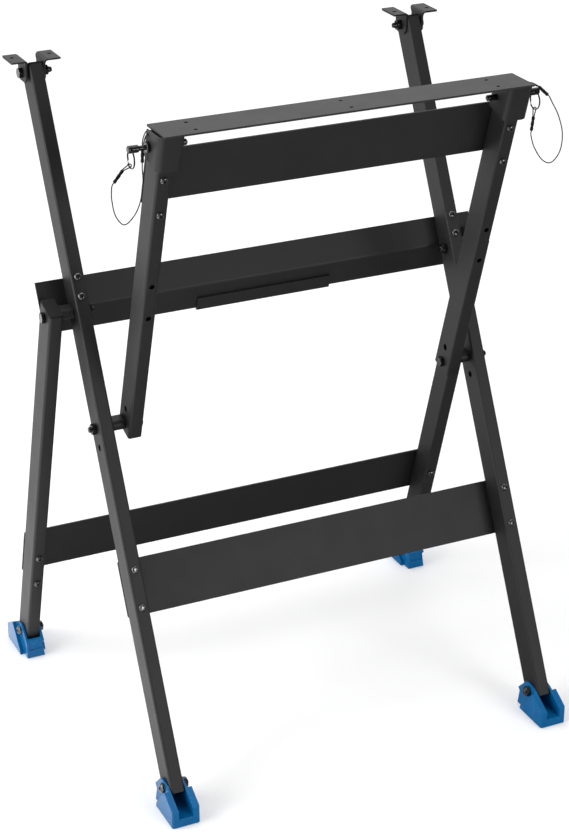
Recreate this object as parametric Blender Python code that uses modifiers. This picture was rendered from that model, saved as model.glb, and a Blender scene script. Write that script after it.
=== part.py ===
"""Folding work stand: three hinged tube frames, a pinned top rail and turning plastic feet.

Metres, +Z up, front towards -Y. The origin is on the ground, in the middle of the four feet.
"""
import math

import bmesh
import bpy
from mathutils import Matrix, Vector

# Overall layout
WORK_HEIGHT = 0.907
MAIN_LEG_SPREAD = 0.278
MAIN_LEAN = 26.8
REAR_LEAN = 17.2
ARM_LEAN = 17.5
ARM_PIVOT_REACH = 0.518
REAR_PIVOT_REACH = 0.673

# Rectangular tube
TUBE_WIDTH = 0.019
TUBE_DEPTH = 0.038
TUBE_WALL = 0.0016
TUBE_CORNER = 0.003
FRAME_GAP = 0.0206
PIVOT_TAIL = 0.0119
LOCK_HOLE_OFFSET = 0.0254
LOCK_HOLE_DIAMETER = 0.0086

# Flat crossbars
BAR_THICKNESS = 0.0025
BAR_HEIGHT = 0.0755
BAR_BOLT_PITCH = 0.0508
BAR_HOLE_DIAMETER = 0.0066
BAR_CORNER = 0.002
LOWER_BAR_REACH = 0.2645
REAR_BAR_REACH = 0.412
ARM_BAR_DROP = 0.0215

# Bent upper crossbar, which stops the rear frame both open and folded
WING_LENGTH = 0.0402
STOP_LENGTH = 0.0378
WING_END_INSET = 0.0021
BEND_RADIUS = 0.004
GRIP_LENGTH = 0.2
GRIP_HEIGHT = 0.0205
GRIP_ROOT = 0.004

# Clearances
SEAT = 0.0003
HOLE_CLEARANCE = 0.0003

# Pivot bolts, nuts and spacers
PIVOT_BOLT_DIAMETER = 0.008
PIVOT_HEX_WIDTH = 0.013
PIVOT_HEAD_HEIGHT = 0.0053
PIVOT_NUT_HEIGHT = 0.0065
BOLT_TAIL = 0.002
SPACER_DIAMETER = 0.0145
SPACER_LUG_DIAMETER = 0.0105
SPACER_LUG_BACK = 0.011
SPACER_LUG_RISE = 0.003

# Tube end plugs
PLUG_FLANGE = 0.002
PLUG_DEPTH = 0.012

# Top rail and its brackets
RAIL_DEPTH = 0.057
RAIL_INSET = 0.0036
RAIL_THICKNESS = 0.0025
RAIL_CORNER = 0.001
RAIL_RISE = 0.0234
RAIL_FRONT = 0.0417
RAIL_HOLE_DIAMETER = 0.005
RAIL_HOLE_PITCH = 0.03
RAIL_HOLE_SPAN = 0.205
BRACKET_WALL = 0.002
BRACKET_CORNER = 0.008
BRACKET_OUTER_GAP = 0.004
BRACKET_INNER_GAP = 0.0074
BRACKET_FRONT_GAP = 0.0072
BRACKET_BACK_REACH = 0.012
BRACKET_DROP = 0.02
NOTCH_RADIUS = 0.003
EYE_DIAMETER = 0.0044
EYE_BACK = 0.0018
EYE_RISE = 0.0149
ARM_TAIL = 0.0105

# Lock pins
PIN_DIAMETER = 0.008
PIN_TIP_REACH = 0.0489
PIN_COLLAR_DIAMETER = 0.014
PIN_COLLAR_LENGTH = 0.0042
PIN_NECK_DIAMETER = 0.0062
PIN_NECK_LENGTH = 0.0091
PIN_GRIP_DIAMETER = 0.0096
PIN_GRIP_LENGTH = 0.0137
RING_INSET = 0.0042
RING_RADIUS = 0.01175
RING_WIRE = 0.002
RING_HOLE_DIAMETER = 0.0046
PIN_EDGE = 0.0008

# Lanyards
CABLE_DIAMETER = 0.0015
FERRULE_DIAMETER = 0.0044
FERRULE_LENGTH = 0.0186
LOOP_SLACK = 0.0006

# Bench brackets at the tops of the main legs
BENCH_RISE = 0.0205
BENCH_TAIL = 0.0089
BENCH_SHEET = 0.003
BENCH_DEPTH = 0.041
BENCH_FORE = 0.0195
BENCH_FLANGE = 0.0225
BENCH_BOSS = 0.0025
BENCH_BOSS_DIAMETER = 0.016
BENCH_TAB_DROP = 0.0115
BENCH_TAB_HALF = 0.015
BENCH_TAB_CORNER = 0.006
BENCH_BEND = 0.005
BENCH_HOLE_DIAMETER = 0.0052
BENCH_HOLE_OUT = 0.0145
BENCH_HOLE_FORE = 0.003

# Feet
FOOT_PIVOT_HEIGHT = 0.0345
FOOT_TAIL = 0.0079
FOOT_TOE = 0.046
FOOT_HEEL = 0.028
FOOT_TOE_HEIGHT = 0.0243
FOOT_SHOULDER = 0.014
FOOT_SHOULDER_HEIGHT = 0.042
FOOT_HUMP_RADIUS = 0.0115
FOOT_HUMP_BACK = 0.003
FOOT_HEEL_HEIGHT = 0.025
FOOT_HEEL_WALL = 0.005
FOOT_HEEL_RECESS = 0.002
FOOT_CREASE_HEIGHT = 0.0126
FOOT_PAD_BACK = 0.0128
FOOT_PAD_HEIGHT = 0.0075
FOOT_PAD_DRAFT = 0.0025
FOOT_PAD_CREST = 0.0185
FOOT_FLOOR = 0.012
FOOT_CHEEK = 0.0035
FOOT_SLOT_GAP = 0.0006
FOOT_SIDE_GAP = 0.0006
FOOT_TOE_CHAMFER = 0.002
FOOT_BOLT_DIAMETER = 0.008
FOOT_HEX_WIDTH = 0.013
FOOT_HEAD_HEIGHT = 0.0045
FOOT_NUT_HEIGHT = 0.006
FOOT_BOLT_TAIL = 0.0015

# Places that follow from the sizes above
SIN_MAIN = math.sin(math.radians(MAIN_LEAN))
COS_MAIN = math.cos(math.radians(MAIN_LEAN))
SIN_REAR = math.sin(math.radians(REAR_LEAN))
COS_REAR = math.cos(math.radians(REAR_LEAN))
SIN_ARM = math.sin(math.radians(ARM_LEAN))
COS_ARM = math.cos(math.radians(ARM_LEAN))
FOLD_ANGLE = MAIN_LEAN + REAR_LEAN
LEG_PITCH = TUBE_WIDTH + FRAME_GAP
REAR_LEG_SPREAD = MAIN_LEG_SPREAD + LEG_PITCH
ARM_SPREAD = MAIN_LEG_SPREAD - LEG_PITCH
MAIN_FOOT_REACH = FOOT_PIVOT_HEIGHT / COS_MAIN
REAR_FOOT_REACH = (REAR_PIVOT_REACH * COS_MAIN - FOOT_PIVOT_HEIGHT) / COS_REAR
FOOT_STRIDE = (REAR_PIVOT_REACH - MAIN_FOOT_REACH) * SIN_MAIN + REAR_FOOT_REACH * SIN_REAR
MAIN_GROUND_Y = -0.5 * FOOT_STRIDE - MAIN_FOOT_REACH * SIN_MAIN
BENCH_REACH = (WORK_HEIGHT - BENCH_RISE) / COS_MAIN
MAIN_BOTTOM = MAIN_FOOT_REACH - FOOT_TAIL
MAIN_LENGTH = BENCH_REACH + BENCH_TAIL - PLUG_FLANGE - SEAT - MAIN_BOTTOM
ARM_PIVOT = Vector((0.0, MAIN_GROUND_Y + ARM_PIVOT_REACH * SIN_MAIN, ARM_PIVOT_REACH * COS_MAIN))
REAR_PIVOT = Vector((0.0, MAIN_GROUND_Y + REAR_PIVOT_REACH * SIN_MAIN, REAR_PIVOT_REACH * COS_MAIN))
PIN_REACH = (WORK_HEIGHT - RAIL_RISE - ARM_PIVOT.z) / COS_ARM
BRACKET_OUT = ARM_SPREAD + TUBE_WIDTH / 2 + BRACKET_OUTER_GAP + BRACKET_WALL
BRACKET_IN = ARM_SPREAD - TUBE_WIDTH / 2 - BRACKET_INNER_GAP - BRACKET_WALL
HALF_DEPTH = TUBE_DEPTH / 2
BAR_OFFSET = HALF_DEPTH + SEAT
LOWER_BAR_MIDDLE = LOWER_BAR_REACH + BAR_HEIGHT / 2
FOOT_BODY_WIDTH = TUBE_WIDTH + 2 * (FOOT_SLOT_GAP + FOOT_CHEEK)
FOOT_TOE_WIDTH = LEG_PITCH - FOOT_SIDE_GAP
SIDES = (("left", -1.0), ("right", 1.0))

# Segment counts of the round forms
HOLE_SEGMENTS = 16
SHANK_SEGMENTS = 16
RING_SEGMENTS = 28


def clear_scene():
    for item in list(bpy.data.objects):
        bpy.data.objects.remove(item, do_unlink=True)


def new_collection(name):
    collection = bpy.data.collections.new(name)
    bpy.context.scene.collection.children.link(collection)
    return collection


def new_material(name, color, roughness, metallic):
    material = bpy.data.materials.new(name)
    material.use_nodes = True
    shader = material.node_tree.nodes["Principled BSDF"]
    shader.inputs["Base Color"].default_value = (*color, 1.0)
    shader.inputs["Roughness"].default_value = roughness
    shader.inputs["Metallic"].default_value = metallic
    return material


clear_scene()
PARTS = new_collection("folding_work_stand")
CUTTERS = new_collection("cutters")
STEEL_BLACK = (0.022, 0.022, 0.023)
FASTENER_BLACK = (0.012, 0.012, 0.013)
FOOT_BLUE = (0.008, 0.135, 0.42)


def add_part(name, mesh, color, roughness, metallic, parent=None, location=(0, 0, 0), rotation=(0, 0, 0)):
    """One named piece with its own material, placed under its parent."""
    piece = bpy.data.objects.new(name, mesh)
    PARTS.objects.link(piece)
    piece.parent = parent
    piece.location = location
    piece.rotation_euler = rotation
    if not mesh.materials:
        mesh.materials.append(None)
    piece.material_slots[0].link = "OBJECT"
    piece.material_slots[0].material = new_material(name, color, roughness, metallic)
    return piece


def add_empty(name, location, tilt):
    """A joint axis along X, with its Z along the tubes of the frame that turns on it."""
    axis = bpy.data.objects.new(name, None)
    axis.empty_display_size = 0.05
    PARTS.objects.link(axis)
    axis.location = location
    axis.rotation_euler = (math.radians(tilt), 0.0, 0.0)
    return axis


def add_tool(name, mesh, parent):
    """A hidden solid in its part's own coordinates, for cutting or joining."""
    tool = bpy.data.objects.new(name, mesh)
    CUTTERS.objects.link(tool)
    tool.parent = parent
    tool.hide_render = True
    tool.display_type = "WIRE"
    return tool


def combine(part, mesh, operation):
    tool = add_tool(part.name + "_" + operation.lower() + str(len(part.modifiers)), mesh, part)
    step = part.modifiers.new(operation.title(), "BOOLEAN")
    step.operation = operation
    step.solver = "EXACT"
    step.object = tool


def evaluated_mesh(source):
    """The finished mesh of a curve or of an object with modifiers, with its seams welded."""
    graph = bpy.context.evaluated_depsgraph_get()
    mesh = bpy.data.meshes.new_from_object(source.evaluated_get(graph))
    data = source.data
    bpy.data.objects.remove(source, do_unlink=True)
    if isinstance(data, bpy.types.Curve):
        bpy.data.curves.remove(data)
    work = bmesh.new()
    work.from_mesh(mesh)
    bmesh.ops.remove_doubles(work, verts=work.verts, dist=1e-6)
    bmesh.ops.recalc_face_normals(work, faces=work.faces)
    work.to_mesh(mesh)
    work.free()
    mesh.materials.clear()
    return mesh


def outline_solid(name, outlines, thickness):
    """Closed flat outlines, the inner ones being holes, extruded evenly about local Z = 0."""
    curve = bpy.data.curves.new(name, "CURVE")
    curve.dimensions = "2D"
    curve.fill_mode = "BOTH"
    curve.extrude = thickness / 2
    for outline in outlines:
        spline = curve.splines.new("POLY")
        spline.points.add(len(outline) - 1)
        for point, place in zip(spline.points, outline):
            point.co = (place[0], place[1], 0.0, 1.0)
        spline.use_cyclic_u = True
    source = bpy.data.objects.new(name, curve)
    PARTS.objects.link(source)
    return evaluated_mesh(source)


def wire_solid(name, points, diameter, cyclic=False, sides=2):
    """A round wire along a list of points."""
    curve = bpy.data.curves.new(name, "CURVE")
    curve.dimensions = "3D"
    curve.bevel_depth = diameter / 2
    curve.bevel_resolution = sides
    curve.use_fill_caps = not cyclic
    spline = curve.splines.new("POLY")
    spline.points.add(len(points) - 1)
    for point, place in zip(spline.points, points):
        point.co = (place[0], place[1], place[2], 1.0)
    spline.use_cyclic_u = cyclic
    source = bpy.data.objects.new(name, curve)
    PARTS.objects.link(source)
    return evaluated_mesh(source)


def turned_solid(name, profile, segments):
    """A profile of (radius, height) pairs from the top down, turned about local Z."""
    mesh = bpy.data.meshes.new(name)
    work = bmesh.new()
    points = [work.verts.new((radius, 0.0, height)) for radius, height in profile]
    for first, second in zip(points, points[1:]):
        work.edges.new((first, second))
    work.to_mesh(mesh)
    work.free()
    source = bpy.data.objects.new(name, mesh)
    PARTS.objects.link(source)
    screw = source.modifiers.new("Turn", "SCREW")
    screw.axis = "Z"
    screw.angle = math.tau
    screw.steps = segments
    screw.render_steps = segments
    screw.use_merge_vertices = True
    screw.merge_threshold = 1e-6
    return evaluated_mesh(source)


def rods(name, holes):
    """Round cutters: each hole is an axis letter, a centre, a diameter and a length."""
    turns = {
        "X": Matrix.Rotation(math.radians(90.0), 4, "Y"),
        "Y": Matrix.Rotation(math.radians(90.0), 4, "X"),
        "Z": Matrix.Identity(4),
    }
    mesh = bpy.data.meshes.new(name)
    work = bmesh.new()
    for axis, centre, diameter, length in holes:
        bmesh.ops.create_cone(
            work,
            cap_ends=True,
            segments=HOLE_SEGMENTS,
            radius1=diameter / 2,
            radius2=diameter / 2,
            depth=length,
            matrix=Matrix.Translation(centre) @ turns[axis],
        )
    work.to_mesh(mesh)
    work.free()
    return mesh


def block(name, low, high):
    """A box between two corners."""
    mesh = bpy.data.meshes.new(name)
    work = bmesh.new()
    bmesh.ops.create_cube(work, size=1.0)
    low = Vector(low)
    high = Vector(high)
    size = Matrix.Diagonal((*(high - low), 1.0))
    bmesh.ops.transform(work, matrix=Matrix.Translation((low + high) / 2) @ size, verts=work.verts)
    work.to_mesh(mesh)
    work.free()
    return mesh


def along_x(mesh):
    """Turns an outline drawn in (Y, Z) so that its thickness runs along X."""
    mesh.transform(Matrix(((0, 0, 1, 0), (1, 0, 0, 0), (0, 1, 0, 0), (0, 0, 0, 1))))
    return mesh


def arc(centre, radius, start, end, steps):
    """Points on an arc, angles in degrees."""
    points = []
    for index in range(steps + 1):
        angle = math.radians(start + (end - start) * index / steps)
        points.append((centre[0] + radius * math.cos(angle), centre[1] + radius * math.sin(angle)))
    return points


def rounded_rectangle(width, depth, radius, steps):
    across = width / 2 - radius
    along = depth / 2 - radius
    points = arc((across, along), radius, 0, 90, steps)
    points += arc((-across, along), radius, 90, 180, steps)
    points += arc((-across, -along), radius, 180, 270, steps)
    points += arc((across, -along), radius, 270, 360, steps)
    return points


def circle(centre, diameter, steps):
    return arc(centre, diameter / 2, 0, 360 * (steps - 1) / steps, steps - 1)


def hexagon(width):
    return arc((0.0, 0.0), width / math.sqrt(3), 0, 300, 5)


def bent_sheet(points, thickness, radius, steps):
    """Section of a sheet that follows a path with rounded bends, thickness to the left of the path."""
    left = []
    right = []
    path = [Vector(point) for point in points]
    for index, place in enumerate(path):
        before = path[max(index - 1, 0)]
        after = path[min(index + 1, len(path) - 1)]
        if index in (0, len(path) - 1):
            ahead = (after - before).normalized()
            normal = Vector((-ahead.y, ahead.x))
            right.append(place)
            left.append(place + normal * thickness)
            continue
        arrive = (place - before).normalized()
        leave = (after - place).normalized()
        turn = math.atan2(arrive.x * leave.y - arrive.y * leave.x, arrive.dot(leave))
        inner_left = turn > 0
        side = 1.0 if inner_left else -1.0
        right_radius = radius + (thickness if inner_left else 0.0)
        left_radius = radius + (0.0 if inner_left else thickness)
        set_back = right_radius * math.tan(abs(turn) / 2)
        normal = Vector((-arrive.y, arrive.x)) * side
        centre = place - arrive * set_back + normal * right_radius
        for step in range(steps + 1):
            spin = Matrix.Rotation(turn * step / steps, 2)
            spoke = spin @ (-normal)
            right.append(centre + spoke * right_radius)
            left.append(centre + spoke * left_radius)
    return [tuple(point) for point in right + left[::-1]]


def smooth_path(points, per_span, cyclic=False):
    """Points on a smooth curve through the given ones."""
    places = [Vector(point) for point in points]
    count = len(places)
    spans = count if cyclic else count - 1
    path = []
    for span in range(spans):
        if cyclic:
            near = [places[(span + shift) % count] for shift in (-1, 0, 1, 2)]
        else:
            near = [places[min(max(span + shift, 0), count - 1)] for shift in (-1, 0, 1, 2)]
        for step in range(per_span):
            t = step / per_span
            point = near[1] * 2.0
            point += (near[2] - near[0]) * t
            point += (near[0] * 2.0 - near[1] * 5.0 + near[2] * 4.0 - near[3]) * t * t
            point += (near[1] * 3.0 - near[0] - near[2] * 3.0 + near[3]) * t * t * t
            path.append(point * 0.5)
    if not cyclic:
        path.append(places[-1])
    return path


def tube_mesh(name, length):
    """Open rectangular tube from local Z = 0 to its length."""
    outer = rounded_rectangle(TUBE_WIDTH, TUBE_DEPTH, TUBE_CORNER, 3)
    inner_radius = max(TUBE_CORNER - TUBE_WALL, 0.2 * TUBE_WALL)
    inner = rounded_rectangle(TUBE_WIDTH - 2 * TUBE_WALL, TUBE_DEPTH - 2 * TUBE_WALL, inner_radius, 2)
    mesh = outline_solid(name, (outer, inner), length)
    mesh.transform(Matrix.Translation((0.0, 0.0, length / 2)))
    return mesh


def plug_mesh(name):
    """Moulded end plug: a flange over the tube's end and a stem inside it, seated from local Z = 0."""
    flange = outline_solid(name, (rounded_rectangle(TUBE_WIDTH, TUBE_DEPTH, TUBE_CORNER, 3),), PLUG_FLANGE)
    flange.transform(Matrix.Translation((0.0, 0.0, PLUG_FLANGE / 2)))
    return flange


def plug_stem(name):
    inset = 2 * (TUBE_WALL + SEAT)
    radius = max(TUBE_CORNER - TUBE_WALL, 0.2 * TUBE_WALL)
    outline = rounded_rectangle(TUBE_WIDTH - inset, TUBE_DEPTH - inset, radius, 2)
    length = PLUG_DEPTH + PLUG_FLANGE / 2
    stem = outline_solid(name, (outline,), length)
    stem.transform(Matrix.Translation((0.0, 0.0, PLUG_FLANGE / 2 - length / 2)))
    return stem


def bolt_mesh(name, diameter, hex_width, head_height, grip):
    """Hex bolt along X: the head's seat at X = 0, the head towards +X, the shank towards -X."""
    head = outline_solid(name, (hexagon(hex_width),), head_height)
    head.transform(Matrix.Translation((0.0, 0.0, head_height / 2)))
    source = bpy.data.objects.new(name, head)
    PARTS.objects.link(source)
    reach = grip + head_height / 2
    chamfer = diameter * 0.12
    shank = turned_solid(
        name + "_shank",
        (
            (0.0, head_height / 2),
            (diameter / 2, head_height / 2),
            (diameter / 2, head_height / 2 - reach + chamfer),
            (diameter / 2 - chamfer, head_height / 2 - reach),
            (0.0, head_height / 2 - reach),
        ),
        SHANK_SEGMENTS,
    )
    combine(source, shank, "UNION")
    bpy.context.view_layer.update()
    tool = source.modifiers[0].object
    mesh = evaluated_mesh(source)
    bpy.data.objects.remove(tool, do_unlink=True)
    mesh.transform(Matrix.Rotation(math.radians(90.0), 4, "Y"))
    return mesh


def nut_mesh(name, diameter, hex_width, height):
    """Hex nut along X, its seat at X = 0 and its body towards -X."""
    bore = circle((0.0, 0.0), diameter + 2 * HOLE_CLEARANCE, SHANK_SEGMENTS)
    mesh = outline_solid(name, (hexagon(hex_width), bore), height)
    mesh.transform(Matrix.Translation((0.0, 0.0, -height / 2)))
    mesh.transform(Matrix.Rotation(math.radians(90.0), 4, "Y"))
    return mesh


def hole(axis, centre, diameter, length=TUBE_WIDTH + TUBE_DEPTH):
    return (axis, Vector(centre), diameter + 2 * HOLE_CLEARANCE, length)


# Main frame: two long legs that lean back, on an axis at the ground
main_axis = add_empty("main_axis", (0.0, MAIN_GROUND_Y, 0.0), -MAIN_LEAN)
for side, sign in SIDES:
    leg = add_part(
        "main_leg_" + side,
        tube_mesh("main_leg_" + side, MAIN_LENGTH),
        STEEL_BLACK, 0.5, 0.3,
        main_axis,
        (sign * MAIN_LEG_SPREAD, 0.0, MAIN_BOTTOM),
    )
    stations = (
        (MAIN_FOOT_REACH, FOOT_BOLT_DIAMETER),
        (ARM_PIVOT_REACH - LOCK_HOLE_OFFSET, LOCK_HOLE_DIAMETER),
        (ARM_PIVOT_REACH, PIVOT_BOLT_DIAMETER),
        (REAR_PIVOT_REACH, PIVOT_BOLT_DIAMETER),
        (BENCH_REACH, PIVOT_BOLT_DIAMETER),
    )
    holes = [hole("X", (0.0, 0.0, reach - MAIN_BOTTOM), width) for reach, width in stations]
    combine(leg, rods("main_leg_drill", holes), "DIFFERENCE")
    plug = add_part(
        "main_leg_plug_" + side,
        plug_mesh("main_leg_plug_" + side),
        FASTENER_BLACK, 0.6, 0.0,
        leg,
        (0.0, 0.0, MAIN_LENGTH + SEAT),
    )
    combine(plug, plug_stem("main_leg_plug_stem"), "UNION")
    bore = rods("main_leg_plug_drill", [hole("X", (0.0, 0.0, PLUG_FLANGE - BENCH_TAIL), PIVOT_BOLT_DIAMETER)])
    combine(plug, bore, "DIFFERENCE")

lower_bar = outline_solid(
    "lower_crossbar",
    (rounded_rectangle(2 * MAIN_LEG_SPREAD + TUBE_WIDTH, BAR_HEIGHT, BAR_CORNER, 2),),
    BAR_THICKNESS,
)
lower_bar.transform(Matrix.Rotation(math.radians(90.0), 4, "X"))
add_part(
    "lower_crossbar", lower_bar, STEEL_BLACK, 0.5, 0.3, main_axis,
    (0.0, BAR_OFFSET + BAR_THICKNESS / 2, LOWER_BAR_MIDDLE),
)

# Upper crossbar: one wing on the backs of the main legs, one on the backs of the rear legs
fold = math.radians(FOLD_ANGLE)
apex = Vector((BAR_OFFSET, BAR_OFFSET * math.tan(fold / 2)))
rear_down = Vector((math.sin(fold), -math.cos(fold)))
wing_path = (apex + Vector((0.0, WING_LENGTH)), apex, apex + rear_down * STOP_LENGTH)
wing_section = bent_sheet(wing_path, BAR_THICKNESS, BEND_RADIUS, 4)
wing_width = 2 * (REAR_LEG_SPREAD + TUBE_WIDTH / 2 - WING_END_INSET)
upper_bar = add_part(
    "upper_crossbar",
    along_x(outline_solid("upper_crossbar", (wing_section,), wing_width)),
    STEEL_BLACK, 0.5, 0.3, main_axis, (0.0, 0.0, REAR_PIVOT_REACH),
)
wing_front = Vector((-math.cos(fold), -math.sin(fold)))
wing_foot = apex + rear_down * STOP_LENGTH
grip_bottom = wing_foot + rear_down * BAR_THICKNESS
grip_section = (
    wing_foot - wing_front * BAR_THICKNESS - rear_down * GRIP_ROOT,
    grip_bottom - wing_front * BAR_THICKNESS * 0.5,
    grip_bottom + wing_front * BAR_THICKNESS * 0.8,
    grip_bottom + wing_front * BAR_THICKNESS * 1.2 - rear_down * BAR_THICKNESS * 0.4,
    grip_bottom + wing_front * BAR_THICKNESS * 1.2 - rear_down * GRIP_HEIGHT,
    grip_bottom + wing_front * BAR_THICKNESS * 0.2 - rear_down * GRIP_HEIGHT,
    grip_bottom + wing_front * BAR_THICKNESS * 0.2 - rear_down * 2 * BAR_THICKNESS,
    wing_foot - wing_front * BAR_THICKNESS * 0.4 - rear_down * GRIP_ROOT,
)
grip = along_x(outline_solid("upper_crossbar_grip", (grip_section,), GRIP_LENGTH))
combine(upper_bar, grip, "UNION")

# Pivot bolts, nuts and double spacers between the frames
spacer_length = FRAME_GAP - 2 * SEAT
lug = Vector((SPACER_LUG_BACK, SPACER_LUG_RISE))
lug_angle = math.degrees(math.atan2(lug.y, lug.x))
waist = math.degrees(math.acos((SPACER_DIAMETER - SPACER_LUG_DIAMETER) / 2 / lug.length))
spacer_outline = arc((0.0, 0.0), SPACER_DIAMETER / 2, lug_angle + waist + 12, lug_angle + 348 - waist, 14)
spacer_outline += arc(lug, SPACER_LUG_DIAMETER / 2, lug_angle - waist + 6, lug_angle + waist - 6, 9)
spacer_bore = circle((0.0, 0.0), PIVOT_BOLT_DIAMETER + 2 * HOLE_CLEARANCE, SHANK_SEGMENTS)
pivot_stack = 2 * TUBE_WIDTH + FRAME_GAP
pivot_grip = pivot_stack + 2 * SEAT + PIVOT_NUT_HEIGHT + BOLT_TAIL
pivot_bolt = bolt_mesh("pivot_bolt", PIVOT_BOLT_DIAMETER, PIVOT_HEX_WIDTH, PIVOT_HEAD_HEIGHT, pivot_grip)
pivot_nut = nut_mesh("pivot_nut", PIVOT_BOLT_DIAMETER, PIVOT_HEX_WIDTH, PIVOT_NUT_HEIGHT)
for side, sign in SIDES:
    facing = (0.0, 0.0, 0.0 if sign > 0 else math.pi)
    for pivot, reach, outer_spread in (
        ("rear_pivot", REAR_PIVOT_REACH, REAR_LEG_SPREAD),
        ("arm_pivot", ARM_PIVOT_REACH, MAIN_LEG_SPREAD),
    ):
        spacer = along_x(outline_solid(pivot + "_spacer", (spacer_outline, spacer_bore), spacer_length))
        spacer.transform(Matrix.Rotation(math.radians(MAIN_LEAN), 4, "X"))
        gap_middle = outer_spread - LEG_PITCH / 2
        add_part(
            pivot + "_spacer_" + side, spacer, FASTENER_BLACK, 0.45, 0.2, main_axis,
            (sign * gap_middle, 0.0, reach),
        )
        head_seat = outer_spread + TUBE_WIDTH / 2 + SEAT
        add_part(
            pivot + "_bolt_" + side, pivot_bolt.copy(), FASTENER_BLACK, 0.35, 0.8, main_axis,
            (sign * head_seat, 0.0, reach), facing,
        )
        nut_seat = head_seat - pivot_stack - 2 * SEAT
        add_part(
            pivot + "_nut_" + side, pivot_nut.copy(), FASTENER_BLACK, 0.35, 0.8, main_axis,
            (sign * nut_seat, 0.0, reach), facing,
        )

# Rear frame: legs outside the main legs, folding forward on the rear pivot
rear_axis = add_empty("rear_axis", REAR_PIVOT, REAR_LEAN)
rear_bottom = REAR_FOOT_REACH + FOOT_TAIL
rear_length = rear_bottom + PIVOT_TAIL
for side, sign in SIDES:
    leg = add_part(
        "rear_leg_" + side,
        tube_mesh("rear_leg_" + side, rear_length),
        STEEL_BLACK, 0.5, 0.3, rear_axis,
        (sign * REAR_LEG_SPREAD, 0.0, -rear_bottom),
    )
    holes = [
        hole("X", (0.0, 0.0, rear_bottom - REAR_FOOT_REACH), FOOT_BOLT_DIAMETER),
        hole("X", (0.0, 0.0, rear_bottom), PIVOT_BOLT_DIAMETER),
    ]
    combine(leg, rods("rear_leg_drill", holes), "DIFFERENCE")
    plug = add_part(
        "rear_leg_plug_" + side,
        plug_mesh("rear_leg_plug_" + side),
        FASTENER_BLACK, 0.6, 0.0, leg,
        (0.0, 0.0, rear_length + SEAT),
    )
    combine(plug, plug_stem("rear_leg_plug_stem"), "UNION")
    bore = rods("rear_leg_plug_drill", [hole("X", (0.0, 0.0, -PIVOT_TAIL - SEAT), PIVOT_BOLT_DIAMETER)])
    combine(plug, bore, "DIFFERENCE")

rear_bar = outline_solid(
    "rear_crossbar",
    (rounded_rectangle(2 * REAR_LEG_SPREAD + TUBE_WIDTH, BAR_HEIGHT, BAR_CORNER, 2),),
    BAR_THICKNESS,
)
rear_bar.transform(Matrix.Rotation(math.radians(90.0), 4, "X"))
add_part(
    "rear_crossbar", rear_bar, STEEL_BLACK, 0.5, 0.3, rear_axis,
    (0.0, BAR_OFFSET + BAR_THICKNESS / 2, -REAR_BAR_REACH - BAR_HEIGHT / 2),
)

# Arm frame: short arms inside the main legs, folding forward and down on the arm pivot
arm_axis = add_empty("arm_axis", ARM_PIVOT, ARM_LEAN)
arm_length = PIVOT_TAIL + PIN_REACH + ARM_TAIL
for side, sign in SIDES:
    arm = add_part(
        "arm_" + side,
        tube_mesh("arm_" + side, arm_length),
        STEEL_BLACK, 0.5, 0.3, arm_axis,
        (sign * ARM_SPREAD, 0.0, -PIVOT_TAIL),
    )
    holes = [
        hole("X", (0.0, 0.0, PIVOT_TAIL), PIVOT_BOLT_DIAMETER),
        hole("X", (0.0, 0.0, PIVOT_TAIL + LOCK_HOLE_OFFSET), LOCK_HOLE_DIAMETER),
        hole("X", (0.0, 0.0, PIVOT_TAIL + PIN_REACH), PIN_DIAMETER),
    ]
    for offset in (-BAR_BOLT_PITCH / 2, BAR_BOLT_PITCH / 2):
        station = ARM_PIVOT_REACH - LOWER_BAR_MIDDLE + offset
        holes.append(hole("Y", (0.0, 0.0, PIVOT_TAIL + station), BAR_HOLE_DIAMETER))
    combine(arm, rods("arm_drill", holes), "DIFFERENCE")

arm_bar = outline_solid(
    "arm_crossbar",
    (rounded_rectangle(2 * ARM_SPREAD + TUBE_WIDTH, BAR_HEIGHT, BAR_CORNER, 2),),
    BAR_THICKNESS,
)
arm_bar.transform(Matrix.Rotation(math.radians(90.0), 4, "X"))
add_part(
    "arm_crossbar", arm_bar, STEEL_BLACK, 0.5, 0.3, arm_axis,
    (0.0, BAR_OFFSET + BAR_THICKNESS / 2, PIN_REACH - ARM_BAR_DROP - BAR_HEIGHT / 2),
)

# Top rail: a drilled flat plate over two channel brackets, pinned to the arms' ends
pin_place = ARM_PIVOT + Vector((0.0, -SIN_ARM, COS_ARM)) * PIN_REACH
rail_width = 2 * (BRACKET_OUT - RAIL_INSET)
rail_middle = RAIL_DEPTH / 2 - RAIL_FRONT
rail_outlines = [rounded_rectangle(rail_width, RAIL_DEPTH, RAIL_CORNER, 1)]
for station in (-RAIL_HOLE_SPAN, 0.0, RAIL_HOLE_SPAN):
    for offset in (-RAIL_HOLE_PITCH / 2, RAIL_HOLE_PITCH / 2):
        rail_outlines.append(circle((station, offset), RAIL_HOLE_DIAMETER, HOLE_SEGMENTS))
rail_plate = outline_solid("top_rail", rail_outlines, RAIL_THICKNESS)
rail_plate.transform(Matrix.Translation((0.0, rail_middle, RAIL_RISE - RAIL_THICKNESS / 2)))
top_rail = add_part("top_rail", rail_plate, STEEL_BLACK, 0.5, 0.3, None, pin_place)

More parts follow.
